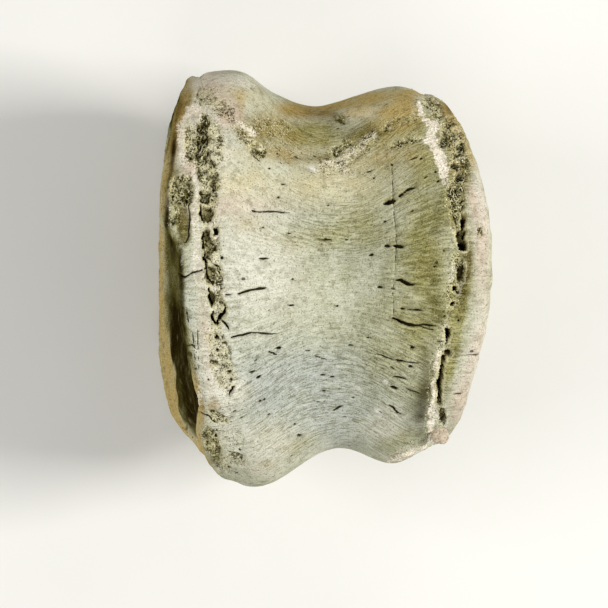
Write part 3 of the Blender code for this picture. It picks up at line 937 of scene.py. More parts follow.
@dataclass
class Weathering:
    """Cuts the marks and the sponge into one skin, and lays the stains and painted shade and light on it."""

    skin: Skin
    cell_mm: float = 1.15
    cell_depth: float = 1.25
    coarse_cells: float = 1.9
    ragged_px: float = 1.5
    patch_ragged_px: float = 2.4
    slit_spread_px: float = 0.25
    grain_ragged_px: float = 1.7
    fused_rows: tuple[float, float] = (316.0, 342.0)
    suture_sponge: float = 0.4
    suture_reach: float = 2.4
    hidden_cavity_depth: float = 3.4
    deep_hollow: float = 1.0
    pale_rim: float = 0.4
    shaft: tuple[float, float, float, float] = (-26.0, -20.0, 28.0, 33.0)
    swell_height: float = 0.16
    swell_mm: float = 7.0
    dent_height: float = 0.07
    dent_mm: float = 2.2
    fibre_height: float = 0.055
    fibre_mm: float = 1.1
    fibre_stretch: float = 0.18
    ring_height: float = 0.14
    ring_phase_per_mm: float = 1.25
    knob_height: float = 0.35
    knob_mm: float = 5.0
    pit_depth: float = 1.1
    pit_mm: float = 2.6
    hidden_marks: int = 150
    hidden_cracks: int = 15
    hidden_seed: int = 41
    hidden_span: tuple[float, float] = (-24.0, 30.0)
    hidden_slope: float = 0.14
    crack_length: tuple[float, float] = (8.0, 20.0)
    crack_width: tuple[float, float] = (0.3, 0.5)
    crack_depth: float = 0.9
    mouth_length: tuple[float, float] = (1.2, 4.5)
    mouth_width: tuple[float, float] = (0.45, 0.95)
    mouth_depth_share: float = 1.6

    def __post_init__(self) -> None:
        """Find where each place lies, on the bone and in the photograph, before any wear."""
        skin = self.skin
        self.spots = skin.spots()
        self.near = ramp(skin.facing(), 0.0, 0.10) * (skin.lean < 0.9)
        self.flank = 1.0 - ramp(skin.lean, 0.0, 1.0)
        self.u, self.v = VIEW.pixels(skin.points())
        self.rough_u = ripple(self.spots, 2.4, 3.1) + 0.7 * ripple(self.spots, 0.9, 5.7)
        self.rough_v = ripple(self.spots, 2.4, 8.3) + 0.7 * ripple(self.spots, 0.9, 1.9)
        self.ragged = (self.u + self.ragged_px * self.rough_u, self.v + self.ragged_px * self.rough_v)
        self.broad = (
            self.ragged[0] + self.patch_ragged_px * ripple(self.spots, 4.6, 41.0),
            self.ragged[1] + self.patch_ragged_px * ripple(self.spots, 4.6, 43.0),
        )
        self.drop, self.sponge, self.pale = np.zeros((3, *skin.x.shape))
        self.slit = np.full(skin.x.shape, NO_SLIT)

    def measure(self) -> Wear:
        """Work out the wear.

        Returns:
            The wear at each place of the skin.
        """
        self._open_sutures()
        self._open_hollows()
        self._leave_ridges()
        self._cut_slits()
        self._cut_hidden_slits()
        drop = self._roughen(self.drop + self._pits())
        return Wear(drop, self.drop, self.sponge, self.pale, self.slit, self._stains())

    def _open_sutures(self) -> None:
        """Open the groove along both sutures, with cavities where the camera doesn't see them."""
        x, angle, hidden = self.skin.x, self.skin.angle, 1.0 - self.near
        uneven = ripple(self.spots, 6.0, 21.0) + 0.6 * ripple(self.spots, 2.6, 24.0)
        for plate in (FRONT, REAR):
            away = x - plate.suture(angle)
            groove = np.clip(1.0 - np.abs(away) / FORM.suture_wear_reach, 0.0, 1.0) ** 2
            openness = 0.35 - 0.2 * self.near + 0.75 * ramp(np.sin(angle), 0.90, 0.98)
            if plate is FRONT:
                openness = openness * (1.0 - self.near * ramp(self.v, *self.fused_rows))
            drop = self.drop + FORM.suture_wear * groove * openness * self.flank
            ring = np.exp(-((away / self.suture_reach) ** 2)) * self.flank
            cavity = ramp(uneven + 0.75 * ring, 0.62, 0.95) * ring * hidden
            self.drop = np.maximum(drop, self.hidden_cavity_depth * cavity)
            seam = self.suture_sponge * ring * ramp(uneven, -0.6, 0.4)
            opened = 0.9 * ramp(uneven + 0.8 * ring, 0.35, 0.9) * ring * hidden
            self.sponge = np.maximum(self.sponge, np.maximum(seam, opened))
            rim = ramp(uneven + 0.6 * ring, 0.1, 0.6) * ring * (1.0 - cavity)
            self.pale = np.maximum(self.pale, 0.5 * rim * hidden)

    def _open_hollows(self) -> None:
        """Open the cavities and spongy patches of the photograph, with pale rims round the deep ones."""
        for size in (*FRONT_SUTURE_HOLLOWS, *REAR_SUTURE_HOLLOWS, *FLANK_HOLLOWS):
            hollow = Hollow(*size)
            distance = hollow.distance(*self.ragged)
            self.drop = np.maximum(self.drop, hollow.depth * ramp(distance, 0.6, -1.6) * self.near)
            spread = ramp(hollow.distance(*self.broad), 4.5, -2.0)
            self.sponge = np.maximum(self.sponge, hollow.sponge * spread * self.near)
            if hollow.depth > self.deep_hollow:
                rim = ramp(distance, 5.0, 0.5) * ramp(distance, -0.5, 0.5)
                self.pale = np.maximum(self.pale, self.pale_rim * rim * self.near)

    def _leave_ridges(self) -> None:
        """Leave bridges and lips standing, crumbly along their edges and paler where they are whole."""
        grainy = ripple(self.spots, 1.3, 71.0) + ripple(self.spots, 0.55, 72.0)
        whole = 1.0 - 0.45 * ramp(ripple(self.spots, 2.6, 75.0), 0.0, 0.5)
        for path, width, depth, bare, holes in RIDGES:
            ridge = Ridge(path, width, depth, pale=bare, sponge=holes)
            edge = ridge.distance(*self.broad) + self.grain_ragged_px * grainy
            cover = ramp(edge, 1.6, -1.4) * self.near
            self.drop = self.drop + (ridge.depth - self.drop) * cover
            self.pale = np.maximum(self.pale, ridge.pale * cover * whole)
            self.sponge = self.sponge + (ridge.sponge - self.sponge) * cover

    def _cut_slits(self) -> None:
        """Cut the cracks, crevices and vessel mouths of the photograph."""
        slits = (*(Slit(*size) for size in VESSEL_SLITS), *(Slit(*size) for size in CRACK_SLITS))
        for mark in (*slits, *(Crevice(*size) for size in CREVICES), *(pore(*size) for size in PORES)):
            edge = mark.ragged * self.ragged_px
            distance = mark.distance(self.u + edge * self.rough_u, self.v + edge * self.rough_v)
            distance = distance - self.slit_spread_px
            self.drop = np.maximum(self.drop, mark.depth * ramp(distance, 0.9, -0.9) * self.near)
            nearest = np.minimum(self.slit, distance * VIEW.pixel_mm)
            self.slit = np.where(self.near > 0.5, nearest, self.slit)

    def _cut_hidden_slits(self) -> None:
        """Scatter drying cracks and vessel mouths over the sides that the photograph doesn't show."""
        generator = np.random.default_rng(self.hidden_seed)
        drop = np.zeros(self.skin.x.shape)
        nearest = np.full(self.skin.x.shape, NO_SLIT)
        girth = 2.0 * math.pi * GRAIN_RADIUS
        for number in range(self.hidden_marks):
            crack = number < self.hidden_cracks
            length = generator.uniform(*(self.crack_length if crack else self.mouth_length))
            width = generator.uniform(*(self.crack_width if crack else self.mouth_width))
            depth = self.crack_depth if crack else self.mouth_depth_share * width
            middle_x = generator.uniform(*self.hidden_span)
            middle = generator.uniform(0.0, girth)
            slope = generator.uniform(-self.hidden_slope, self.hidden_slope)
            away_x = self.skin.x - middle_x + 0.3 * self.rough_u
            away = (GRAIN_RADIUS * self.skin.angle - middle + 0.5 * girth) % girth - 0.5 * girth
            away = away - slope * away_x + 0.18 * self.rough_v
            share = np.clip(np.abs(away_x) / (0.5 * length), 0.0, 1.0)
            edge = np.hypot(away, np.maximum(np.abs(away_x) - 0.5 * length, 0.0))
            edge = edge - 0.5 * width * (1.0 - 0.75 * share**2)
            drop = np.maximum(drop, depth * ramp(edge, 0.25, -0.25))
            nearest = np.minimum(nearest, edge)
        self.drop = np.maximum(self.drop, drop * (1.0 - self.near) * self.flank)
        hidden = (self.near < 0.5) & (self.flank > 0.5)
        self.slit = np.where(hidden, np.minimum(self.slit, nearest), self.slit)

    def _pits(self) -> Rows:
        """Open the cells of bare sponge, small ones everywhere and some larger ones among them.

        Returns:
            How far each place is cut down.
        """
        inside, share = cells(self.spots, self.cell_mm, 2.0)
        coarse, coarse_share = cells(self.spots, self.coarse_cells * self.cell_mm, 4.0)
        pit = ramp(inside, 0.08, 0.55) * (0.25 + 0.75 * share)
        pit = np.maximum(pit, 1.3 * ramp(coarse, 0.10, 0.5) * ramp(coarse_share, 0.45, 0.9))
        return self.cell_depth * pit * ramp(self.sponge, 0.25, 1.0)

    def _roughen(self, drop: Rows) -> Rows:
        """Add the low relief of the worn surface: swellings and dents all over, and fibres on the shaft.

        Args:
            drop: How far each place is cut down so far.

        Returns:
            The drop with the relief.
        """
        low_start, low_end, high_start, high_end = self.shaft
        drop = drop + self._face_relief() * self.skin.lean
        drop = drop + self.swell_height * ripple(self.spots, self.swell_mm, 12.0)
        drop = drop + self.dent_height * ripple(self.spots, self.dent_mm, 15.0)
        shaft = ramp(self.skin.x, low_start, low_end) * ramp(self.skin.x, high_end, high_start)
        fibres = ripple(self.skin.grain() * (self.fibre_stretch, 1.0, 1.0), self.fibre_mm, 19.0)
        return drop + self.fibre_height * fibres * shaft

    def _face_relief(self) -> Rows:
        """Raise the rings of growth and low knobs of an outer face, and scatter its pits.

        Returns:
            How far the face is cut down at each place.
        """
        spots = self.spots
        radius = np.hypot(spots[..., 1], spots[..., 2])
        turns = radius * self.ring_phase_per_mm + 2.2 * ripple(spots, 9.0, 31.0)
        rings = self.ring_height * np.sin(turns) * ramp(radius, 18.0, 34.0)
        knobs = self.knob_height * ripple(spots, self.knob_mm, 33.0) + 0.18 * ripple(spots, 1.9, 35.0)
        inside, share = cells(spots, self.pit_mm, 7.0)
        return rings + knobs + self.pit_depth * ramp(inside, 0.35, 0.75) * ramp(share, 0.72, 0.95)

    def _stains(self) -> dict[Tint, Rows]:
        """Lay the photograph's stains, painted shade and painted light on the side that it shows,
        and soft clouds of stain on the others.

        Returns:
            The share of each tint, from 0 to 1.
        """
        broad = ripple(self.spots, 26.0, 51.0)
        patchy = ripple(self.spots, 13.0, 54.0)
        seen = ramp(self.skin.facing(), -0.20, 0.10) * np.maximum(self.near, 1.0 - self.skin.lean)
        hidden = {
            Tint.CREAM: ramp(broad, -0.1, 0.4) * 0.8,
            Tint.YELLOW: ramp(patchy, 0.0, 0.6) * 0.5,
            Tint.OLIVE: ramp(-broad, 0.05, 0.5) * 0.6,
            Tint.BROWN: ramp(-patchy, 0.2, 0.6) * 0.4,
            Tint.GREY: ramp(broad * patchy, 0.0, 0.2) * 0.4,
            Tint.PINK: ramp(patchy - broad, 0.3, 0.9) * 0.3,
        }
        tints = {tint: hidden.get(tint, np.zeros(seen.shape)) * (1.0 - seen) for tint in Tint}
        for tint, sizes in STAINS.items():
            for size in sizes:
                tints[tint] = tints[tint] + Stain(*size).cover(self.u, self.v) * seen
        if self.skin.outward < 0:
            self._shade_and_soil_dish(tints)
        return {tint: np.clip(amount, 0.0, 1.0) for tint, amount in tints.items()}

    def _shade_and_soil_dish(self, tints: dict[Tint, Rows]) -> None:
        """Darken the dish of the front face with soil and painted shade, up to its bare rim.

        The painted shade is the near rim's shadow, deepest past the rim's turn onto the face; the far lip
        beyond it is painted lit, in tan.

        Args:
            tints: The share of each tint, which the soil and painted shade change.
        """
        spots, lean = self.spots, self.skin.lean
        wavy = ripple(spots, 6.0, 57.0)
        # Pixels past the column where the painted shadow begins; its edge is sharper lower down
        lip = self.u - smooth_outline(DISH_SHADE, self.v) + 2.0 * wavy
        lip = lip / (1.5 + 5.5 * ramp(self.v, 360.0, 310.0))
        reach = np.hypot(spots[..., 1], spots[..., 2]) + 1.5 * wavy
        dished = 1.0 - ramp(reach, 50.5, 54.5) * ramp(-np.sin(self.skin.angle), 0.38, 0.55)
        # Painted shadow under the near rim; the far lip outside it is painted lit
        rim_shadowed = ramp(lip, -1.0, 0.4) * dished
        clouds = (0.3 + 0.4 * ramp(spots[..., 2], 30.0, 0.0)) * ramp(ripple(spots, 15.0, 60.0), 0.3, -0.3)
        # The darkest painted shade, with soil, thinned in soft clouds
        soil_and_shade = ramp(lip, -0.3, 0.8) * dished * (1.0 - clouds)
        # Past the rim's turn onto the face, the other stains give way to the painted shade
        for tint in tints:
            if tint is not Tint.DARK:
                tints[tint] = tints[tint] * (1.0 - 0.9 * ramp(lean, 0.5, 0.9))
        rim = lean + 0.12 * ripple(spots, 2.2, 59.0)
        # Painted shade deepening over the rim's turn under the near rim, and the far lip painted lit in tan
        layers = (
            (Tint.DARK, 1.0, 0.55, 1.0, soil_and_shade),
            (Tint.MOSS, 0.9, 0.30, 0.80, rim_shadowed),
            (Tint.OLIVE, 0.8, 0.10, 0.55, rim_shadowed),
            (Tint.TAN, 0.9, 0.10, 0.60, 1.0 - rim_shadowed),
        )
        for tint, strength, low, high, share in layers:
            tints[tint] = np.maximum(tints[tint], strength * ramp(rim, low, high) * share)
        rusty = ramp(ripple(spots, 1.0, 58.0), -0.1, 0.5) * ramp(lean, 0.5, 0.9) * rim_shadowed
        tints[Tint.BROWN] = np.maximum(tints[Tint.BROWN], 0.25 * rusty)
        tints[Tint.DARK] = tints[Tint.DARK] * (1.0 - 0.15 * rusty)


# ======== Finishes ========


def linear(colour: str) -> tuple[float, float, float, float]:
    """Turn an sRGB hex colour to linear red, green, blue and alpha.

    Args:
        colour: Six hex digits after a hash sign.

    Returns:
        The linear colour with an alpha of 1.
    """
    parts = [int(colour[start : start + 2], 16) / 255.0 for start in (1, 3, 5)]
    red, green, blue = [
        part / 12.92 if part <= 0.04045 else ((part + 0.055) / 1.055) ** 2.4 for part in parts
    ]
    return red, green, blue, 1.0


def feed(tree: bpy.types.NodeTree, node: bpy.types.Node, links: dict[str | int, object]) -> None:
    """Feed a node.

    Args:
        tree: The tree that the node is in.
        node: The node.
        links: Input names or numbers, each with a value or with the socket that feeds it.
    """
    for name, value in links.items():
        if isinstance(value, bpy.types.NodeSocket):
            tree.links.new(value, node.inputs[name])
        else:
            node.inputs[name].default_value = value


def add_node(
    tree: bpy.types.NodeTree, kind: str, links: dict[str | int, object], **settings: object
) -> bpy.types.Node:
    """Add a node with its settings and with what feeds it.

    Args:
        tree: The tree to add to.
        kind: The node's type.
        links: Input names or numbers, each with a value or with the socket that feeds it.
        settings: Properties of the node and their values.

    Returns:
        The new node.
    """
    node = tree.nodes.new(kind)
    for name, value in settings.items():
        setattr(node, name, value)
    feed(tree, node, links)
    return node


class Step(Enum):
    """A step in working out a colour: its node, the inputs it takes in order, its output and its settings."""

    PLACE = ("TexCoord", (), "Object", {})
    CARRIED = ("Attribute", (), "Fac", {})
    GRAIN = ("Attribute", (), "Vector", {"attribute_name": "grain"})
    STRETCH = ("Mapping", ("Vector", "Scale"), 0, {})
    CLOUDS = ("TexNoise", ("Vector", "Scale", "Detail", "Roughness"), "Fac", {})
    DOTS = ("TexVoronoi", ("Vector", "Scale"), "Distance", {"feature": "F1"})
    PLUS = ("Math", (0, 1), 0, {"operation": "ADD"})
    MINUS = ("Math", (0, 1), 0, {"operation": "SUBTRACT"})
    TIMES = ("Math", (0, 1), 0, {"operation": "MULTIPLY"})
    LARGER = ("Math", (0, 1), 0, {"operation": "MAXIMUM"})
    ABOVE = ("Math", (0, 1), 0, {"operation": "GREATER_THAN"})
    RISE = (
        "MapRange",
        ("Value", "From Min", "From Max", "To Max"),
        "Result",
        {"interpolation_type": "SMOOTHSTEP"},
    )
    SPAN = ("MapRange", ("Value", "To Min", "To Max"), "Result", {})
    OVER = ("Mix", (0, 6, 7), 2, {"data_type": "RGBA"})
    RELIEF = ("Bump", ("Height", "Distance"), "Normal", {})


class Paint:
    """One material, whose colour is worked out step by step."""

    def __init__(self, name: str) -> None:
        """Start the material.

        Args:
            name: What the material is called.
        """
        self.material = bpy.data.materials.new(name)
        self.material.use_nodes = True
        self.tree = self.material.node_tree

    def add(self, step: Step, *values: object, **settings: object) -> bpy.types.NodeSocket:
        """Add one step.

        Args:
            step: What it does.
            values: What goes into it, in order: a socket, a number, or a colour as sRGB hex.
            settings: Properties of its node besides the step's own.

        Returns:
            What comes out of it.
        """
        kind, inputs, output, own = step.value
        plain = (linear(value) if isinstance(value, str) else value for value in values)
        node = add_node(self.tree, "ShaderNode" + kind, dict(zip(inputs, plain)), **own, **settings)
        return node.outputs[output]

    def dress(self, links: dict[str | int, object]) -> bpy.types.Material:
        """Feed the shader and hand over the material."""
        feed(self.tree, self.tree.nodes["Principled BSDF"], links)
        return self.material


@dataclass(frozen=True)
class WeatheredBone:
    """Old beach-worn bone: compact bone polished smooth, open to the sponge where it has worn through.

    It is matt and chalky. Fine grooves run along the bone's grain, soil and painted shade darken the pits
    and cracks, water has left cream, olive and brown patches, and some dark patches are painted shade.
    """

    name: str = "weathered_whale_bone"
    ground: str = "#c2c3ad"
    ground_dark: str = "#a3a487"
    fibre: str = "#bfbda6"
    # Olive, moss and dark also serve as painted shade, and tan as painted light, in places
    tint_colours: tuple[tuple[Tint, str], ...] = (
        (Tint.GREY, "#aeb3ab"),
        (Tint.CREAM, "#d7d4c3"),
        (Tint.YELLOW, "#d8c99c"),
        (Tint.OLIVE, "#938e55"),
        (Tint.MOSS, "#5a5422"),
        (Tint.BROWN, "#947c40"),
        (Tint.TAN, "#b9a163"),
        (Tint.DARK, "#241a02"),
        (Tint.PINK, "#cbb6a2"),
        (Tint.WHITE, "#e6e4da"),
    )
    dust: str = "#857d56"
    bright_grit: str = "#6f6c5c"
    granule: str = "#ece5c2"
    chalk: str = "#f6ecda"
    sponge_wall: str = "#d0c896"
    sponge_stained: str = "#92884a"
    sponge_pit: str = "#3f3711"
    hollow_floor: str = "#9a9160"
    # Near-black soil and painted shade for pore mouths, cracks, hollow floors and the deepest hollows
    soil_and_shade: str = "#241e09"
    mottle_mm: float = 9.0
    blotch_mm: float = 1.9
    streak_length_mm: float = 3.2
    streak_width_mm: float = 0.42
    grit_mm: float = 0.40
    pore_mm: float = 2.3
    cell_mm: float = 0.80
    patch_mm: float = 3.2
    dot_mm: float = 0.66
    granule_mm: float = 0.46
    roughness: float = 0.85
    specular: float = 0.0

    def build(self) -> bpy.types.Material:
        """Make the material.

        Returns:
            The material, which reads the attributes that BoneBuilder writes.
        """
        paint = Paint(self.name)
        add = paint.add
        over, rise = partial(add, Step.OVER), partial(add, Step.RISE)
        times, plus = partial(add, Step.TIMES), partial(add, Step.PLUS)
        names = (*(f"tint_{tint.value}" for tint in Tint), "pale", "sponge", "ridge", "hollow", "slit")
        worn = {name: add(Step.CARRIED, attribute_name=name) for name in names}
        place, grain = add(Step.PLACE), add(Step.GRAIN)

        # Bleached bone under clouded patches of soil, algae and rust
        mottle = add(Step.CLOUDS, place, waves(self.mottle_mm), 5.0, 0.6)
        across = 1.0 / self.streak_width_mm
        lengthwise = add(Step.STRETCH, grain, (1.0 / self.streak_length_mm, across, across))
        streak = add(Step.CLOUDS, lengthwise, 1.0, 3.0, 0.6)
        grit = add(Step.CLOUDS, place, waves(self.grit_mm), 2.0, 0.6)
        colour = over(rise(mottle, 0.35, 0.65), self.ground, self.ground_dark)
        broken = add(Step.SPAN, mottle, 0.3, 1.7)
        for tint, shade in self.tint_colours:
            colour = over(rise(times(worn[f"tint_{tint.value}"], broken), 0.0, 1.1), colour, shade)

        # Chalky, freshly crumbled lips, then fibres along the grain, and grit that dulls or catches the light
        pale = rise(plus(worn["pale"], add(Step.SPAN, grit, -0.5, 0.5)), 0.10, 0.60)
        colour = over(times(pale, rise(worn["pale"], 0.02, 0.8)), colour, self.chalk)
        fibrous = rise(plus(worn["tint_olive"], worn["tint_grey"]), -0.5, 1.2)
        fibrous = times(rise(streak, 0.56, 0.33), fibrous)
        colour = over(fibrous, colour, self.fibre, blend_type="MULTIPLY")
        clean = rise(worn["tint_dark"], 0.5, 0.0)
        glint = times(rise(streak, 0.50, 0.72, 0.30), clean)
        colour = over(glint, colour, self.sponge_wall, blend_type="SCREEN")
        colour = over(rise(grit, 0.46, 0.27, 0.85), colour, self.dust, blend_type="MULTIPLY")
        glint = times(rise(grit, 0.50, 0.70), add(Step.SPAN, clean, 0.12, 1.0))
        colour = over(glint, colour, self.bright_grit, blend_type="SCREEN")
        blotch = add(Step.CLOUDS, place, waves(self.blotch_mm), 3.0, 0.6)
        colour = over(rise(blotch, 0.51, 0.34, 0.33), colour, self.dust, blend_type="MULTIPLY")

        # Pores of the compact bone, drawn out along the grain, their mouths painted dark with soil and shade
        pores = add(Step.DOTS, add(Step.STRETCH, grain, (0.45, 1.0, 1.0)), 1.0 / self.pore_mm)
        chosen = add(Step.ABOVE, times(pores.node.outputs["Color"], 1.0), 0.70)
        pore_mouth = times(rise(pores, 0.13, 0.08), chosen)
        colour = over(times(pore_mouth, 0.8), colour, self.soil_and_shade)

        # Sponge: light walls and grains round cells of soil and painted shade, darker the deeper they lie
        sponge, ridge, depth = worn["sponge"], worn["ridge"], worn["hollow"]
        crumbly = add(Step.CLOUDS, place, waves(self.cell_mm), 3.0, 0.7)
        patchy = add(Step.CLOUDS, place, waves(self.patch_mm))
        wall = over(rise(patchy, 0.40, 0.60), self.sponge_wall, self.sponge_stained)
        colour = over(times(rise(sponge, 0.35, 0.85), 0.6), colour, wall)
        floor = over(rise(crumbly, 0.38, 0.54), self.soil_and_shade, self.hollow_floor)
        colour = over(rise(depth, 0.7, 2.2, 0.96), colour, floor)
        reach = plus(times(sponge, 0.26), times(ridge, 0.14))
        reach = plus(plus(reach, times(rise(patchy, 0.36, 0.64), 0.24)), 0.09)
        hole = times(rise(add(Step.MINUS, reach, crumbly), -0.03, 0.07), rise(sponge, 0.35, 0.7))
        dots = add(Step.DOTS, place, waves(self.dot_mm))
        open_dot = add(Step.ABOVE, times(sponge, 1.15), dots.node.outputs["Color"])
        dot = rise(add(Step.MINUS, plus(times(sponge, 0.20), 0.16), dots), 0.0, 0.10)
        hole = add(Step.LARGER, hole, times(dot, open_dot))
        colour = over(times(hole, 0.92), colour, self.sponge_pit)
        granules = add(Step.DOTS, place, waves(self.granule_mm))
        chance = times(granules.node.outputs["Color"], 1.0)
        round_grain = rise(granules, 0.55, 0.25)
        light = times(rise(chance, 0.60, 0.72), rise(sponge, 0.2, 0.7))
        colour = over(times(light, round_grain), colour, self.granule)
        dark = rise(add(Step.MINUS, times(sponge, 0.42), chance), -0.02, 0.06, 0.95)
        colour = over(times(dark, round_grain), colour, self.sponge_pit)
        # Painted light on what stands above its surroundings, painted shade and soil in small dips
        colour = over(rise(ridge, -0.08, -0.5, 0.5), colour, wall)
        colour = over(rise(ridge, 0.10, 0.60, 0.6), colour, self.sponge_pit)
        # The deepest hollows painted near-black, as soil and shade
        colour = over(rise(depth, 2.6, 4.6, 0.85), colour, self.soil_and_shade)
        # Cracks, crevices and vessel mouths painted dark, as soil and shade in them
        crack = rise(worn["slit"], 0.05, -0.12)
        colour = over(times(crack, 0.92), colour, self.soil_and_shade)

        # Relief that is too fine for the mesh
        height = plus(times(streak, 0.22), times(grit, 0.14))
        for cut, depth_share in ((pore_mouth, 0.35), (crack, 0.5), (hole, 0.45)):
            height = add(Step.MINUS, height, times(cut, depth_share))
        rough = add(Step.SPAN, mottle, self.roughness - 0.1, self.roughness + 0.1)
        links = {"Base Color": colour, "Roughness": rough, "Specular IOR Level": self.specular}
        return paint.dress({**links, "Normal": add(Step.RELIEF, height, MM)})


@dataclass(frozen=True)
class CrumbledBone:
    """Bare struts of spongy bone: chalky and pale on top, darker further down with soil and painted shade."""

    name: str = "spongy_whale_bone"
    pale: str = "#cfc9a2"
    stained: str = "#6c6539"
    soiled_and_shaded: str = "#433d1d"
    patch_mm: float = 2.2
    grain_mm: float = 0.35
    relief_mm: float = 0.15
    roughness: float = 0.9
    specular: float = 0.08

    def build(self) -> bpy.types.Material:
        """Make the material.

        Returns:
            The material, which reads how far down each point lies.
        """
        paint = Paint(self.name)
        add = paint.add
        place = add(Step.PLACE)
        patch = add(Step.CLOUDS, place, waves(self.patch_mm), 3.0)
        colour = add(Step.OVER, add(Step.RISE, patch, 0.38, 0.62), self.pale, self.stained)
        # Painted shade and soil: darker the further down a strut lies
        depth = add(Step.RISE, add(Step.CARRIED, attribute_name="hollow"), 0.3, 2.6, 0.95)
        relief = add(Step.RELIEF, add(Step.CLOUDS, place, waves(self.grain_mm), 2.0), self.relief_mm * MM)
        links = {"Base Color": add(Step.OVER, depth, colour, self.soiled_and_shaded), "Normal": relief}
        return paint.dress({**links, "Roughness": self.roughness, "Specular IOR Level": self.specular})


@dataclass(frozen=True)
class PaleBoard:
    """Matt painted board: an even, pale and faintly clouded ground that takes a soft shadow."""

    name: str = "pale_painted_board"
    light: str = "#e4e2dc"
    shade: str = "#dedcd5"
    cloud_mm: float = 60.0
    roughness: float = 0.9

    def build(self) -> bpy.types.Material:
        """Make the material.

        Returns:
            The material.
        """
        paint = Paint(self.name)
        cloud = paint.add(Step.CLOUDS, paint.add(Step.PLACE), waves(self.cloud_mm), 3.0)
        colour = paint.add(Step.OVER, cloud, self.light, self.shade)
        return paint.dress({"Base Color": colour, "Roughness": self.roughness})


# ======== The bones ========


@dataclass(frozen=True)
class MeshFineness:
    """How closely the bones' surfaces are cut up."""

    near_reach_deg: float = 91.0
    near_step_deg: float = 0.34
    far_step_deg: float = 1.25
    suture_step: float = 0.31
    middle_step: float = 0.66
    suture_zone: float = 8.2
    crack_step: float = 0.30
    crack_zone: tuple[float, float] = (44.6, 49.6)

    def angles(self) -> Rows:
        """Angles of the columns, closer together on the side that the photograph shows.

        Returns:
            The angles from the upper flank towards dorsal, in radians.
        """
        near_count = round(2.0 * self.near_reach_deg / self.near_step_deg)
        far_count = round((360.0 - 2.0 * self.near_reach_deg) / self.far_step_deg)
        near = np.linspace(-self.near_reach_deg, self.near_reach_deg, near_count, endpoint=False)
        far = np.linspace(self.near_reach_deg, 360.0 - self.near_reach_deg, far_count, endpoint=False)
        return np.radians(np.concatenate([near, far]))

    def shares(self, length: float) -> Rows:
        """Shares of the way from one suture to the other.

        Args:
            length: Millimetres between the sutures.

        Returns:
            Shares from 0 to 1, closer together by the sutures and by the long drying crack.
        """
        fine = np.arange(0.0, self.suture_zone, self.suture_step)
        ends = (self.suture_zone, *self.crack_zone, length - self.suture_zone)
        steps = (self.middle_step, self.crack_step, self.middle_step)
        spans = [
            np.arange(low, high - 0.5 * step, step) for low, high, step in zip(ends[:-1], ends[1:], steps)
        ]
        return np.concatenate([fine, *spans, length - fine[::-1]]) / length


FINENESS = MeshFineness()


def stand(name: str, data: bpy.types.ID) -> bpy.types.Object:
    """Make an object and stand it in the scene.

    Args:
        name: What the object is called.
        data: Its mesh, lamp or camera.

    Returns:
        The object.
    """
    thing = bpy.data.objects.new(name, data)
    bpy.context.scene.collection.objects.link(thing)
    return thing


def carry(mesh: bpy.types.Mesh, name: str, values: Rows) -> None:
    """Give each point of a mesh a number or a vector.

    Args:
        mesh: The mesh.
        name: What the finish reads it as.
        values: One number or one row of three for each point.
    """
    kind, key = ("FLOAT", "value") if values.ndim == 1 else ("FLOAT_VECTOR", "vector")
    layer = mesh.attributes.new(name, kind, "POINT")
    layer.data.foreach_set(key, values.astype(np.float32).ravel())


def soften(rows: Rows, passes: int) -> Rows:
    """Average each number with its neighbours on a grid that closes on itself around the bone.

    Args:
        rows: Numbers in rows along the bone and columns around it.
        passes: How many times to average.

    Returns:
        The softened numbers.
    """
    for _ in range(passes):
        padded = np.concatenate([rows[:1], rows, rows[-1:]], axis=0)
        rows = (padded[:-2] + 2.0 * padded[1:-1] + padded[2:]) / 4.0
        rows = (np.roll(rows, 1, axis=1) + 2.0 * rows + np.roll(rows, -1, axis=1)) / 4.0
    return rows


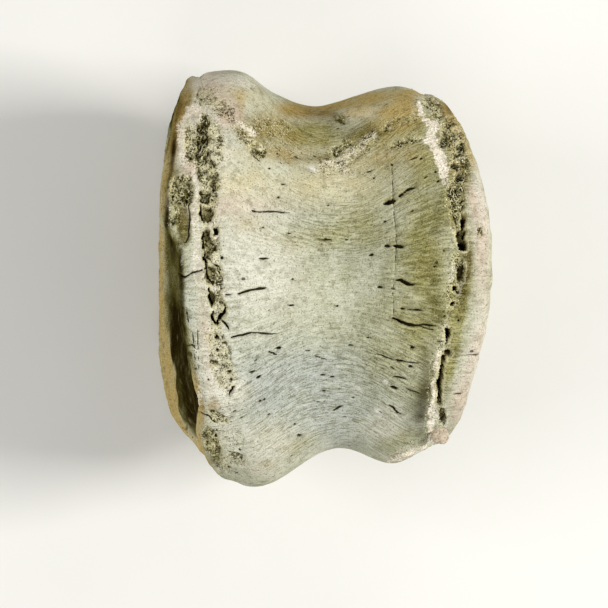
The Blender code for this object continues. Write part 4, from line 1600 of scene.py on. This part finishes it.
class BoneBuilder:
    """Makes one closed bone from rows of places and writes its wear on it."""

    def __init__(self, name: str, node: str, slot: str, finish: bpy.types.Material) -> None:
        """Keep what the piece is called, what it stands for and how it is dressed.

        Args:
            name: The piece's name.
            node: The solid that it stands for.
            slot: The record's material slot.
            finish: The piece's material.
        """
        self.name = name
        self.node = node
        self.slot = slot
        self.finish = finish

    def suture_rings(self, plate: PlateForm, offset: float, shares: tuple[float, ...]) -> list[Rows]:
        """Rings of the hidden face in a suture, from the axis outwards.

        Args:
            plate: The plate whose suture it is.
            offset: Where the face lies from the middle of the gap.
            shares: Shares of the radius, from the axis outwards.

        Returns:
            One ring of points in metres for each share.
        """
        angle = FINENESS.angles()
        edge_x = plate.suture(angle)
        rings = []
        for share in shares:
            x = plate.suture_middle + (edge_x - plate.suture_middle) * share**2 + offset
            rings.append(FORM.place(x, FORM.flank_radius(edge_x, angle) * share, angle))
        return rings

    def weathered_rings(self, skin: Skin) -> tuple[Rows, Wear]:
        """Rows of points cut down by the weather.

        Args:
            skin: The places of the unworn surface, in rows around the bone.

        Returns:
            The points in metres, in the same rows, and the wear.
        """
        wear = Weathering(skin).measure()
        slope = skin.lean * math.pi / 2.0
        x = skin.x - skin.outward * wear.drop * np.sin(slope)
        radius = skin.radius - wear.drop * np.cos(slope)
        return FORM.place(x, radius, skin.angle), wear

    def build(
        self,
        inner: list[Rows],
        skin: Skin,
        outer: list[Rows],
        poles: tuple[Rows, Rows],
        flip: bool,
    ) -> bpy.types.Object:
        """Make the piece.

        Args:
            inner: Rings before the weathered surface.
            skin: The unworn surface.
            outer: Rings after the weathered surface.
            poles: The points that close the first and the last ring.
            flip: True where the rows run from the rear of the bone to its front.

        Returns:
            The finished piece, which stands for its node.
        """
        surface, wear = self.weathered_rings(skin)
        before = np.array(inner).reshape(-1, *surface.shape[1:])
        rings = np.concatenate([before, surface, *[ring[None] for ring in outer]])
        rows, columns = rings.shape[:2]
        points = np.concatenate([rings.reshape(-1, 3), np.array(poles)])
        column = np.arange(columns)
        turn = (column + 1) % columns
        row = np.arange(rows - 1)[:, None] * columns
        corners = [row + column, row + columns + column, row + columns + turn, row + turn]
        quads = np.stack(corners, axis=-1).reshape(-1, 4)
        last = (rows - 1) * columns
        start_cap = np.stack([np.full(columns, len(points) - 2), column, turn], axis=-1)
        end_cap = np.stack([np.full(columns, len(points) - 1), last + turn, last + column], axis=-1)
        faces = [*quads.tolist(), *start_cap.tolist(), *end_cap.tolist()]
        if flip:
            faces = [face[::-1] for face in faces]
        mesh = bpy.data.meshes.new(self.name)
        mesh.from_pydata(points.tolist(), [], faces)
        mesh.shade_smooth()
        self._sharpen(mesh, columns, (len(inner), rows - len(outer) - 1))
        self._write(mesh, skin, wear, len(inner), len(outer))
        mesh.materials.append(self.finish)
        piece = stand(self.name, mesh)
        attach(piece, "root")
        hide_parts(self.node)
        return piece

    def _sharpen(self, mesh: bpy.types.Mesh, columns: int, rings: tuple[int, int]) -> None:
        """Keep the corners between the flank and the suture faces crisp.

        Args:
            mesh: The piece's mesh.
            columns: Points in one ring.
            rings: Numbers of the rings that are corners.
        """
        ends = np.zeros(2 * len(mesh.edges), dtype=np.int32)
        mesh.edges.foreach_get("vertices", ends)
        ring = ends.reshape(-1, 2) // columns
        sharp = (ring[:, 0] == ring[:, 1]) & np.isin(ring[:, 0], rings)
        mesh.edges.foreach_set("use_edge_sharp", sharp)

    def _write(self, mesh: bpy.types.Mesh, skin: Skin, wear: Wear, before: int, after: int) -> None:
        """Write the wear on the mesh's points, for the finish and the crumbs to read.

        Args:
            mesh: The piece's mesh.
            skin: The unworn surface.
            wear: The wear of the surface.
            before: Rings before the surface.
            after: Rings after the surface.
        """
        start = before * skin.x.shape[1]
        layers = {
            "hollow": wear.hollow,
            "ridge": wear.drop - soften(wear.drop, 6),
            "sponge": wear.sponge,
            "pale": wear.pale,
            "slit": wear.slit,
            "crumb": np.clip(wear.pale * 1.1 + wear.sponge * 0.5 - 0.1, 0.0, 1.0),
            "grain": skin.grain(),
        }
        layers.update({f"tint_{tint.value}": amount for tint, amount in wear.tints.items()})
        for name, rows in layers.items():
            blank = NO_SLIT if name == "slit" else 0.0
            whole = np.full((len(mesh.vertices), *rows.shape[2:]), blank)
            whole[start : start + skin.x.size] = rows.reshape(-1, *rows.shape[2:])
            if not after:
                whole[-1] = rows[-1].mean(axis=0)
            carry(mesh, name, whole)


@dataclass(frozen=True)
class Centrum:
    """The spool between the two sutures."""

    name: str = "centrum_bone"
    node: str = "centrum"
    slot: str = "centrum_bone"
    half_gap: float = 0.015
    inner_shares: tuple[float, ...] = (0.15, 0.5, 0.8)

    def owns(self, x: Rows, angle: Rows) -> Rows:
        """True where a place of the flank belongs to this bone."""
        return (x > FRONT.suture(angle)) & (x < REAR.suture(angle))

    def build(self, finish: bpy.types.Material) -> bpy.types.Object:
        """Make the bone.

        Args:
            finish: The material of weathered bone.

        Returns:
            The finished piece.
        """
        builder = BoneBuilder(self.name, self.node, self.slot, finish)
        angle = FINENESS.angles()
        start_x = FRONT.suture(angle) + self.half_gap
        end_x = REAR.suture(angle) - self.half_gap
        share = FINENESS.shares(float(np.mean(end_x - start_x)))[:, None]
        x = start_x + (end_x - start_x) * share
        angles = np.broadcast_to(angle, x.shape)
        skin = Skin(x=x, angle=angles, radius=FORM.flank_radius(x, angles), lean=np.zeros(x.shape))
        inner = builder.suture_rings(FRONT, self.half_gap, self.inner_shares)
        outer = builder.suture_rings(REAR, -self.half_gap, self.inner_shares)[::-1]
        poles = (
            FORM.place(FRONT.suture_middle + self.half_gap, 0.0, 0.0),
            FORM.place(REAR.suture_middle - self.half_gap, 0.0, 0.0),
        )
        return builder.build(inner, skin, outer, poles, flip=False)


@dataclass(frozen=True)
class EndPlate:
    """One unfused end plate with its worn rim and its outer face."""

    form: PlateForm
    name: str
    node: str
    slot: str
    flank_rows: int
    half_gap: float = 0.015
    rim_rows: int = 9
    face_rows: int = 44
    face_reach: float = 0.985
    face_crowding: float = 1.3
    inner_shares: tuple[float, ...] = (0.15, 0.5, 0.8)
    rim_nicks: float = 0.5
    rim_share: float = 0.45

    def owns(self, x: Rows, angle: Rows) -> Rows:
        """Where the flank belongs to this plate.

        Args:
            x: Places along the bone.
            angle: Angles round the bone.

        Returns:
            True for each place that does.
        """
        form = self.form
        shoulder = form.rim(angle) - form.outward * form.rim_round
        return ((x - form.suture(angle)) * form.outward > 0.0) & ((shoulder - x) * form.outward > 0.0)

    def build(self, finish: bpy.types.Material) -> bpy.types.Object:
        """Make the plate.

        Args:
            finish: The material of weathered bone.

        Returns:
            The finished piece.
        """
        builder = BoneBuilder(self.name, self.node, self.slot, finish)
        form = self.form
        offset = form.outward * self.half_gap
        angle = FINENESS.angles()
        start_x = form.suture(angle) + offset
        rim_x = form.rim(angle) - form.outward * self._nicks(angle)
        thickness = (rim_x - start_x) * form.outward
        rounding = np.minimum(form.rim_round, self.rim_share * thickness)
        shoulder_x = rim_x - form.outward * rounding
        shoulder_radius = FORM.flank_radius(shoulder_x, angle)
        rows = []
        for share in np.linspace(0.0, 1.0, self.flank_rows):
            x = start_x + (shoulder_x - start_x) * share
            rows.append((x, FORM.flank_radius(x, angle), 0.0))
        for step in range(1, self.rim_rows + 1):
            turn = math.pi / 2.0 * step / self.rim_rows
            x = shoulder_x + form.outward * rounding * math.sin(turn)
            rows.append((x, shoulder_radius - rounding * (1.0 - math.cos(turn)), step / self.rim_rows))
        face_radius = shoulder_radius - rounding
        for share in 1.0 - np.linspace(0.0, self.face_reach, self.face_rows + 1)[1:] ** self.face_crowding:
            x = form.rim_x + (rim_x - form.rim_x) * share**3 + form.outward * form.face_height(share)
            rows.append((x, face_radius * share, 1.0))
        x = np.array([row[0] for row in rows])
        lean = np.array([row[2] for row in rows])[:, None] * np.ones_like(x)
        skin = Skin(
            x=x,
            angle=np.broadcast_to(angle, x.shape),
            radius=np.array([row[1] for row in rows]),
            lean=lean,
            outward=form.outward,
        )
        inner = builder.suture_rings(form, offset, self.inner_shares)
        poles = (
            FORM.place(form.suture_middle + offset, 0.0, 0.0),
            FORM.place(form.rim_x + form.outward * form.face_height(0.0), 0.0, 0.0),
        )
        return builder.build(inner, skin, [], poles, flip=form.outward < 0)

    def _nicks(self, angle: Rows) -> Rows:
        """How far the worn rim is nicked back.

        Args:
            angle: Angles round the bone.

        Returns:
            The depth of the nicks at each angle.
        """
        ring = on_ring(angle)
        uneven = ripple(ring, 12.0, self.form.seed + 9.0) + 0.5 * ripple(ring, 3.5, self.form.seed + 12.0)
        return self.rim_nicks * np.maximum(uneven, -0.2)


# ======== What grows on the bones: struts of sponge, crumbs and a bead of bone ========


class Grower:
    """Builds one tree of geometry nodes with named sizes, and turns its result into a plain piece."""

    def __init__(self, name: str, sizes: dict[str, float | int]) -> None:
        """Start the tree.

        Args:
            name: What the tree grows.
            sizes: The tree's named inputs and their values.
        """
        self.name = name
        self.sizes = sizes
        self.tree = bpy.data.node_groups.new(name, "GeometryNodeTree")
        for way in ("INPUT", "OUTPUT"):
            self.tree.interface.new_socket("Geometry", in_out=way, socket_type="NodeSocketGeometry")
        self.identifiers = {}
        for size, value in sizes.items():
            kind = "NodeSocketInt" if isinstance(value, int) else "NodeSocketFloat"
            socket = self.tree.interface.new_socket(size, in_out="INPUT", socket_type=kind)
            self.identifiers[size] = socket.identifier
        self.inputs = self.tree.nodes.new("NodeGroupInput").outputs

    def add(
        self, kind: str, links: dict[str | int, object], output: int = 0, **settings: object
    ) -> bpy.types.NodeSocket:
        """Add a node.

        Args:
            kind: The node's type; a geometry node's goes without the words that all of them share.
            links: Input names or numbers, each with a value or with the socket that feeds it.
            output: Number of the output to take.
            settings: Properties of the node and their values.

        Returns:
            The node's output.
        """
        whole_kind = kind if "Node" in kind else "GeometryNode" + kind
        return add_node(self.tree, whole_kind, links, **settings).outputs[output]

    def lumps(self, waves_per_metre: object, seed: float, size: float) -> bpy.types.NodeSocket:
        """Unevenness in every direction.

        Args:
            waves_per_metre: How close together the lumps are.
            seed: Offset that tells one unevenness from another.
            size: Metres from the deepest dent to the highest lump.

        Returns:
            An offset for each point.
        """
        place = self.add("ShaderNodeVectorMath", {0: self.add("InputPosition", {}), 1: (seed, seed, seed)})
        noise_links = {"Vector": place, "Scale": waves_per_metre, "Detail": 1.0}
        uneven = self.add("ShaderNodeTexNoise", noise_links, output=1)
        centred = self.add("ShaderNodeVectorMath", {0: uneven, 1: (0.5, 0.5, 0.5)}, operation="SUBTRACT")
        return self.add("ShaderNodeVectorMath", {0: centred, "Scale": size}, operation="SCALE")

    def finish(
        self, geometry: bpy.types.NodeSocket, base: bpy.types.Mesh, finish: bpy.types.Material, slot: str
    ) -> bpy.types.Object:
        """Run the tree on a mesh and keep what it makes.

        Args:
            geometry: The socket with the grown geometry.
            base: The mesh that it grows from.
            finish: The piece's material.
            slot: The record's material slot; it is not used.

        Returns:
            The finished piece.
        """
        whole = self.add("RealizeInstances", {0: geometry})
        smooth = self.add("SetShadeSmooth", {0: whole})
        dressed = self.add("SetMaterial", {"Geometry": smooth, "Material": finish})
        add_node(self.tree, "NodeGroupOutput", {0: dressed})
        piece = stand(self.name, base)
        modifier = piece.modifiers.new(self.name, "NODES")
        modifier.node_group = self.tree
        for size, value in self.sizes.items():
            modifier[self.identifiers[size]] = value
        graph = bpy.context.evaluated_depsgraph_get()
        plain = bpy.data.meshes.new_from_object(piece.evaluated_get(graph), depsgraph=graph)
        piece.modifiers.remove(modifier)
        piece.data = plain
        plain.name = self.name
        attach(piece, "root")
        return piece


@dataclass(frozen=True)
class SpongeStruts:
    """The struts of bone that cross the opened cells of the sponge, as a ragged net at two depths."""

    name: str
    slot: str
    low_x: float
    high_x: float
    strut_mm: float = 0.58
    thickness_mm: float = 0.13
    sides: int = 5
    wave_mm: float = 1.3
    bend_mm: float = 0.5
    sway_mm: float = 0.15
    ring_mm: float = 55.0
    upper_share: float = 0.30
    lower_share: float = 0.72
    lower_from_mm: float = 1.2
    sunk_mm: float = 0.18
    sunk_spread_mm: float = 0.22
    least_sponge: float = 0.72
    lost_share: float = 0.50
    underside_cosine: float = -0.93
    seed: int = 5

    def build(self, outer: "EndPlate | Centrum", finish: bpy.types.Material) -> bpy.types.Object:
        """Make the struts of one bone.

        Args:
            outer: The bone, which says where its own flank is.
            finish: The material of bare sponge.

        Returns:
            The finished piece.
        """
        points, edges, sunk = self._net(outer)
        net = bpy.data.meshes.new(self.name)
        net.from_pydata(points.tolist(), edges.tolist(), [])
        carry(net, "hollow", sunk)
        sizes = {
            "Thickness": self.thickness_mm * MM,
            "Waves per metre": waves(self.wave_mm),
            "Sides": self.sides,
        }
        grower = Grower(self.name, sizes)
        add, given = grower.add, grower.inputs
        path = add("MeshToCurve", {"Mesh": given["Geometry"]})
        profile = add("CurvePrimitiveCircle", {"Resolution": given["Sides"], "Radius": given["Thickness"]})
        links = {"Vector": add("InputPosition", {}), "Scale": given["Waves per metre"], "Detail": 0.0}
        span = {"From Min": 0.3, "From Max": 0.7, "To Min": 0.35, "To Max": 1.6}
        thick = add("ShaderNodeMapRange", {"Value": add("ShaderNodeTexNoise", links), **span})
        swept = {"Curve": path, "Profile Curve": profile, "Scale": thick, "Fill Caps": True}
        tubes = add("CurveToMesh", swept)
        bent = grower.lumps(given["Waves per metre"], 3.0, self.bend_mm * MM)
        return grower.finish(add("SetPosition", {"Geometry": tubes, "Offset": bent}), net, finish, self.slot)

    def _net(self, outer: "EndPlate | Centrum") -> tuple[Rows, Rows, Rows]:
        """Lay a brick pattern of struts over the flank and keep those that lie in opened sponge.

        Args:
            outer: The bone that the struts belong to.

        Returns:
            The net's points in metres, its edges, and how far below the old surface each point lies.
        """
        generator = np.random.default_rng(self.seed)
        step_x = self.strut_mm * math.sqrt(3.0) / 2.0
        count_x = int((self.high_x - self.low_x) / step_x)
        count_s = int(2.0 * math.pi * self.ring_mm / (1.5 * self.strut_mm))
        row, column = np.meshgrid(np.arange(count_x), np.arange(count_s), indexing="ij")
        shift = 0.5 * ((row + column) % 2) / 1.5
        x = self.low_x + row * step_x + generator.normal(0.0, self.sway_mm, row.shape)
        angle = 2.0 * math.pi * (column + shift) / count_s - math.pi
        angle = angle + generator.normal(0.0, self.sway_mm / self.ring_mm, row.shape)
        skin = Skin(x=x, angle=angle, radius=FORM.flank_radius(x, angle), lean=np.zeros(x.shape))
        wear = Weathering(skin).measure()
        here = (wear.sponge > self.least_sponge) & outer.owns(x, angle)
        here = here & (np.cos(angle) > self.underside_cosine)
        number = np.arange(row.size).reshape(row.shape)
        along = np.stack([number[:-1], number[1:]], axis=-1)
        around = np.stack([number[:, :-1], number[:, 1:]], axis=-1)[(row + column)[:, :-1] % 2 == 1]
        edges = np.concatenate([along.reshape(-1, 2), around.reshape(-1, 2)])
        edges = edges[here.ravel()[edges].all(axis=1)]
        layers = []
        for share, least_hollow in ((self.upper_share, 0.0), (self.lower_share, self.lower_from_mm)):
            kept = edges[(wear.hollow.ravel()[edges] >= least_hollow).all(axis=1)]
            kept = kept[generator.random(len(kept)) > self.lost_share]
            uneven = np.abs(generator.normal(0.0, self.sunk_spread_mm, row.shape))
            sunk = wear.hollow * share + self.sunk_mm + uneven
            layers.append((FORM.place(x, skin.radius - sunk, angle).reshape(-1, 3), kept, sunk.ravel()))
        points = np.concatenate([layer[0] for layer in layers])
        edges = np.concatenate([layers[0][1], layers[1][1] + row.size])
        sunk = np.concatenate([layer[2] for layer in layers])
        used, renumbered = np.unique(edges, return_inverse=True)
        return points[used], renumbered.reshape(edges.shape), sunk[used]


@dataclass(frozen=True)
class Crumbs:
    """Loose grains and nubs of bone along the worn edges."""

    name: str
    slot: str
    per_square_mm: float = 2.2
    small_mm: float = 0.10
    large_mm: float = 0.34
    dent_mm: float = 0.35
    dent_wave_mm: float = 0.45
    seed: int = 8

    def build(self, bone: bpy.types.Object, finish: bpy.types.Material) -> bpy.types.Object:
        """Scatter the crumbs over a bone.

        Args:
            bone: The finished bone, whose points say how crumbly they are.
            finish: The material of weathered bone.

        Returns:
            The finished piece.
        """
        sizes = {
            "Crumbs per square metre": self.per_square_mm / MM**2,
            "Smallest": self.small_mm * MM,
            "Largest": self.large_mm * MM,
            "Seed": self.seed,
        }
        grower = Grower(self.name, sizes)
        add, given = grower.add, grower.inputs
        crumbly = add("InputNamedAttribute", {"Name": "crumb"}, data_type="FLOAT")
        links = {0: crumbly, 1: given["Crumbs per square metre"]}
        density = add("ShaderNodeMath", links, operation="MULTIPLY")
        links = {"Mesh": given["Geometry"], "Density": density, "Seed": given["Seed"]}
        points = add("DistributePointsOnFaces", links, distribute_method="RANDOM")
        grain = add("MeshIcoSphere", {"Radius": 1.0, "Subdivisions": 1})
        full_turn = {0: (0.0, 0.0, 0.0), 1: (6.28, 6.28, 6.28), "Seed": 1}
        turn = add("FunctionNodeRandomValue", full_turn, data_type="FLOAT_VECTOR")
        spread = {2: given["Smallest"], 3: given["Largest"]}
        size = add("FunctionNodeRandomValue", spread, output=1, data_type="FLOAT")
        heap = add("InstanceOnPoints", {"Points": points, "Instance": grain, "Rotation": turn, "Scale": size})
        dented = grower.lumps(waves(self.dent_wave_mm), 9.0, self.dent_mm * MM)
        heap = add("SetPosition", {"Geometry": add("RealizeInstances", {0: heap}), "Offset": dented})
        return grower.finish(heap, bone.data, finish, self.slot)


@dataclass(frozen=True)
class Bead:
    """The round nub of bone that hangs on the rear plate's lower corner."""

    name: str = "rear_plate_nub"
    slot: str = "rear_plate_bone"
    place: tuple[float, float, float] = (35.4, -44.8, 32.2)
    radius: float = 2.5
    lumps: float = 0.45
    lump_mm: float = 1.8
    fine_share: float = 0.3
    fine_lump_mm: float = 0.6

    def build(self, finish: bpy.types.Material) -> bpy.types.Object:
        """Make the nub.

        Args:
            finish: The material of weathered bone.

        Returns:
            The finished piece.
        """
        ball = bmesh.new()
        bmesh.ops.create_icosphere(ball, subdivisions=5, radius=self.radius)
        mesh = bpy.data.meshes.new(self.name)
        ball.to_mesh(mesh)
        ball.free()
        places = np.array([vertex.co[:] for vertex in mesh.vertices])
        fine = self.fine_share * self.lumps * ripple(places, self.fine_lump_mm, 63.0)
        uneven = self.lumps * ripple(places, self.lump_mm, 61.0) + fine
        places = places * (1.0 + uneven / self.radius)[:, None]
        along, back, up = self.place
        middle = FORM.place(along, np.hypot(back, up), math.atan2(back, up))
        mesh.vertices.foreach_set("co", (places * MM + middle).ravel())
        mesh.shade_smooth()
        wear = {"slit": NO_SLIT, "tint_pink": 0.8, "tint_brown": 0.25, "sponge": 0.4, "pale": 0.15}
        for name, value in wear.items():
            carry(mesh, name, np.full(len(places), value))
        carry(mesh, "grain", places)
        mesh.materials.append(finish)
        piece = stand(self.name, mesh)
        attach(piece, "root")
        return piece


# ======== Studio ========


@dataclass(frozen=True)
class AreaLamp:
    """A soft square lamp that looks at the bone's middle."""

    name: str
    place: tuple[float, float, float]
    size: float
    watts: float
    colour: str

    def build(self, target: Vector) -> None:
        """Make the lamp.

        Args:
            target: The point that it looks at, in metres.
        """
        lamp = bpy.data.lights.new(self.name, "AREA")
        lamp.size = self.size
        lamp.energy = self.watts
        lamp.color = linear(self.colour)[:3]
        stood = stand(self.name, lamp)
        stood.location = self.place
        stood.rotation_euler = (target - Vector(self.place)).to_track_quat("-Z", "Y").to_euler()


@dataclass(frozen=True)
class Studio:
    """A pale floor under soft lamps."""

    floor_size: float = 6.0
    sky: str = "#f4f6f8"
    sky_strength: float = 0.30
    lamps: tuple[AreaLamp, ...] = (
        AreaLamp("key_lamp", (0.74, 0.02, 0.74), 0.30, 9.6, "#ffffff"),
        AreaLamp("left_lamp", (-0.80, 0.0, 0.60), 0.50, 4.6, "#ffffff"),
        AreaLamp("back_lamp", (0.10, 0.95, 0.55), 0.50, 1.2, "#ffffff"),
        AreaLamp("front_lamp", (0.0, -0.95, 0.60), 0.50, 2.6, "#ffffff"),
    )

    def build(self) -> None:
        """Make the floor, the lamps and the sky."""
        half = self.floor_size / 2.0
        mesh = bpy.data.meshes.new("floor")
        corners = [(-half, -half, 0.0), (half, -half, 0.0), (half, half, 0.0), (-half, half, 0.0)]
        mesh.from_pydata(corners, [], [(0, 1, 2, 3)])
        mesh.materials.append(PaleBoard().build())
        stand("floor", mesh)
        low, high = CAD_BOX
        for lamp in self.lamps:
            lamp.build((Vector(low) + Vector(high)) / 2.0)
        world = bpy.data.worlds.new("soft_sky")
        world.use_nodes = True
        background = world.node_tree.nodes["Background"]
        background.inputs["Color"].default_value = linear(self.sky)
        background.inputs["Strength"].default_value = self.sky_strength
        bpy.context.scene.world = world
        bpy.context.scene.view_settings.view_transform = "Standard"


def main() -> None:
    """Build the camera, the studio and the three bones, and report each piece."""
    logging.basicConfig(level=logging.INFO, format="%(message)s")
    VIEW.build()
    Studio().build()
    bone = WeatheredBone().build()
    sponge = CrumbledBone().build()
    front = EndPlate(FRONT, "front_end_plate", "epiphysis_front", "front_plate_bone", flank_rows=44)
    rear = EndPlate(REAR, "rear_end_plate", "epiphysis_rear", "rear_plate_bone", flank_rows=38)
    pieces = []
    for part, low_x, high_x in ((Centrum(), -34.0, 39.0), (front, -44.0, -18.0), (rear, 28.0, 48.0)):
        solid = part.build(bone)
        struts = SpongeStruts(f"{part.name}_struts", part.slot, low_x, high_x).build(part, sponge)
        crumbs = Crumbs(f"{part.name}_crumbs", part.slot).build(solid, bone)
        pieces.extend((solid, struts, crumbs))
    pieces.append(Bead().build(bone))
    for piece in pieces:
        triangles = sum(len(face.vertices) - 2 for face in piece.data.polygons)
        LOG.info("%s: %d triangles", piece.name, triangles)


if __name__ == "__main__":
    main()
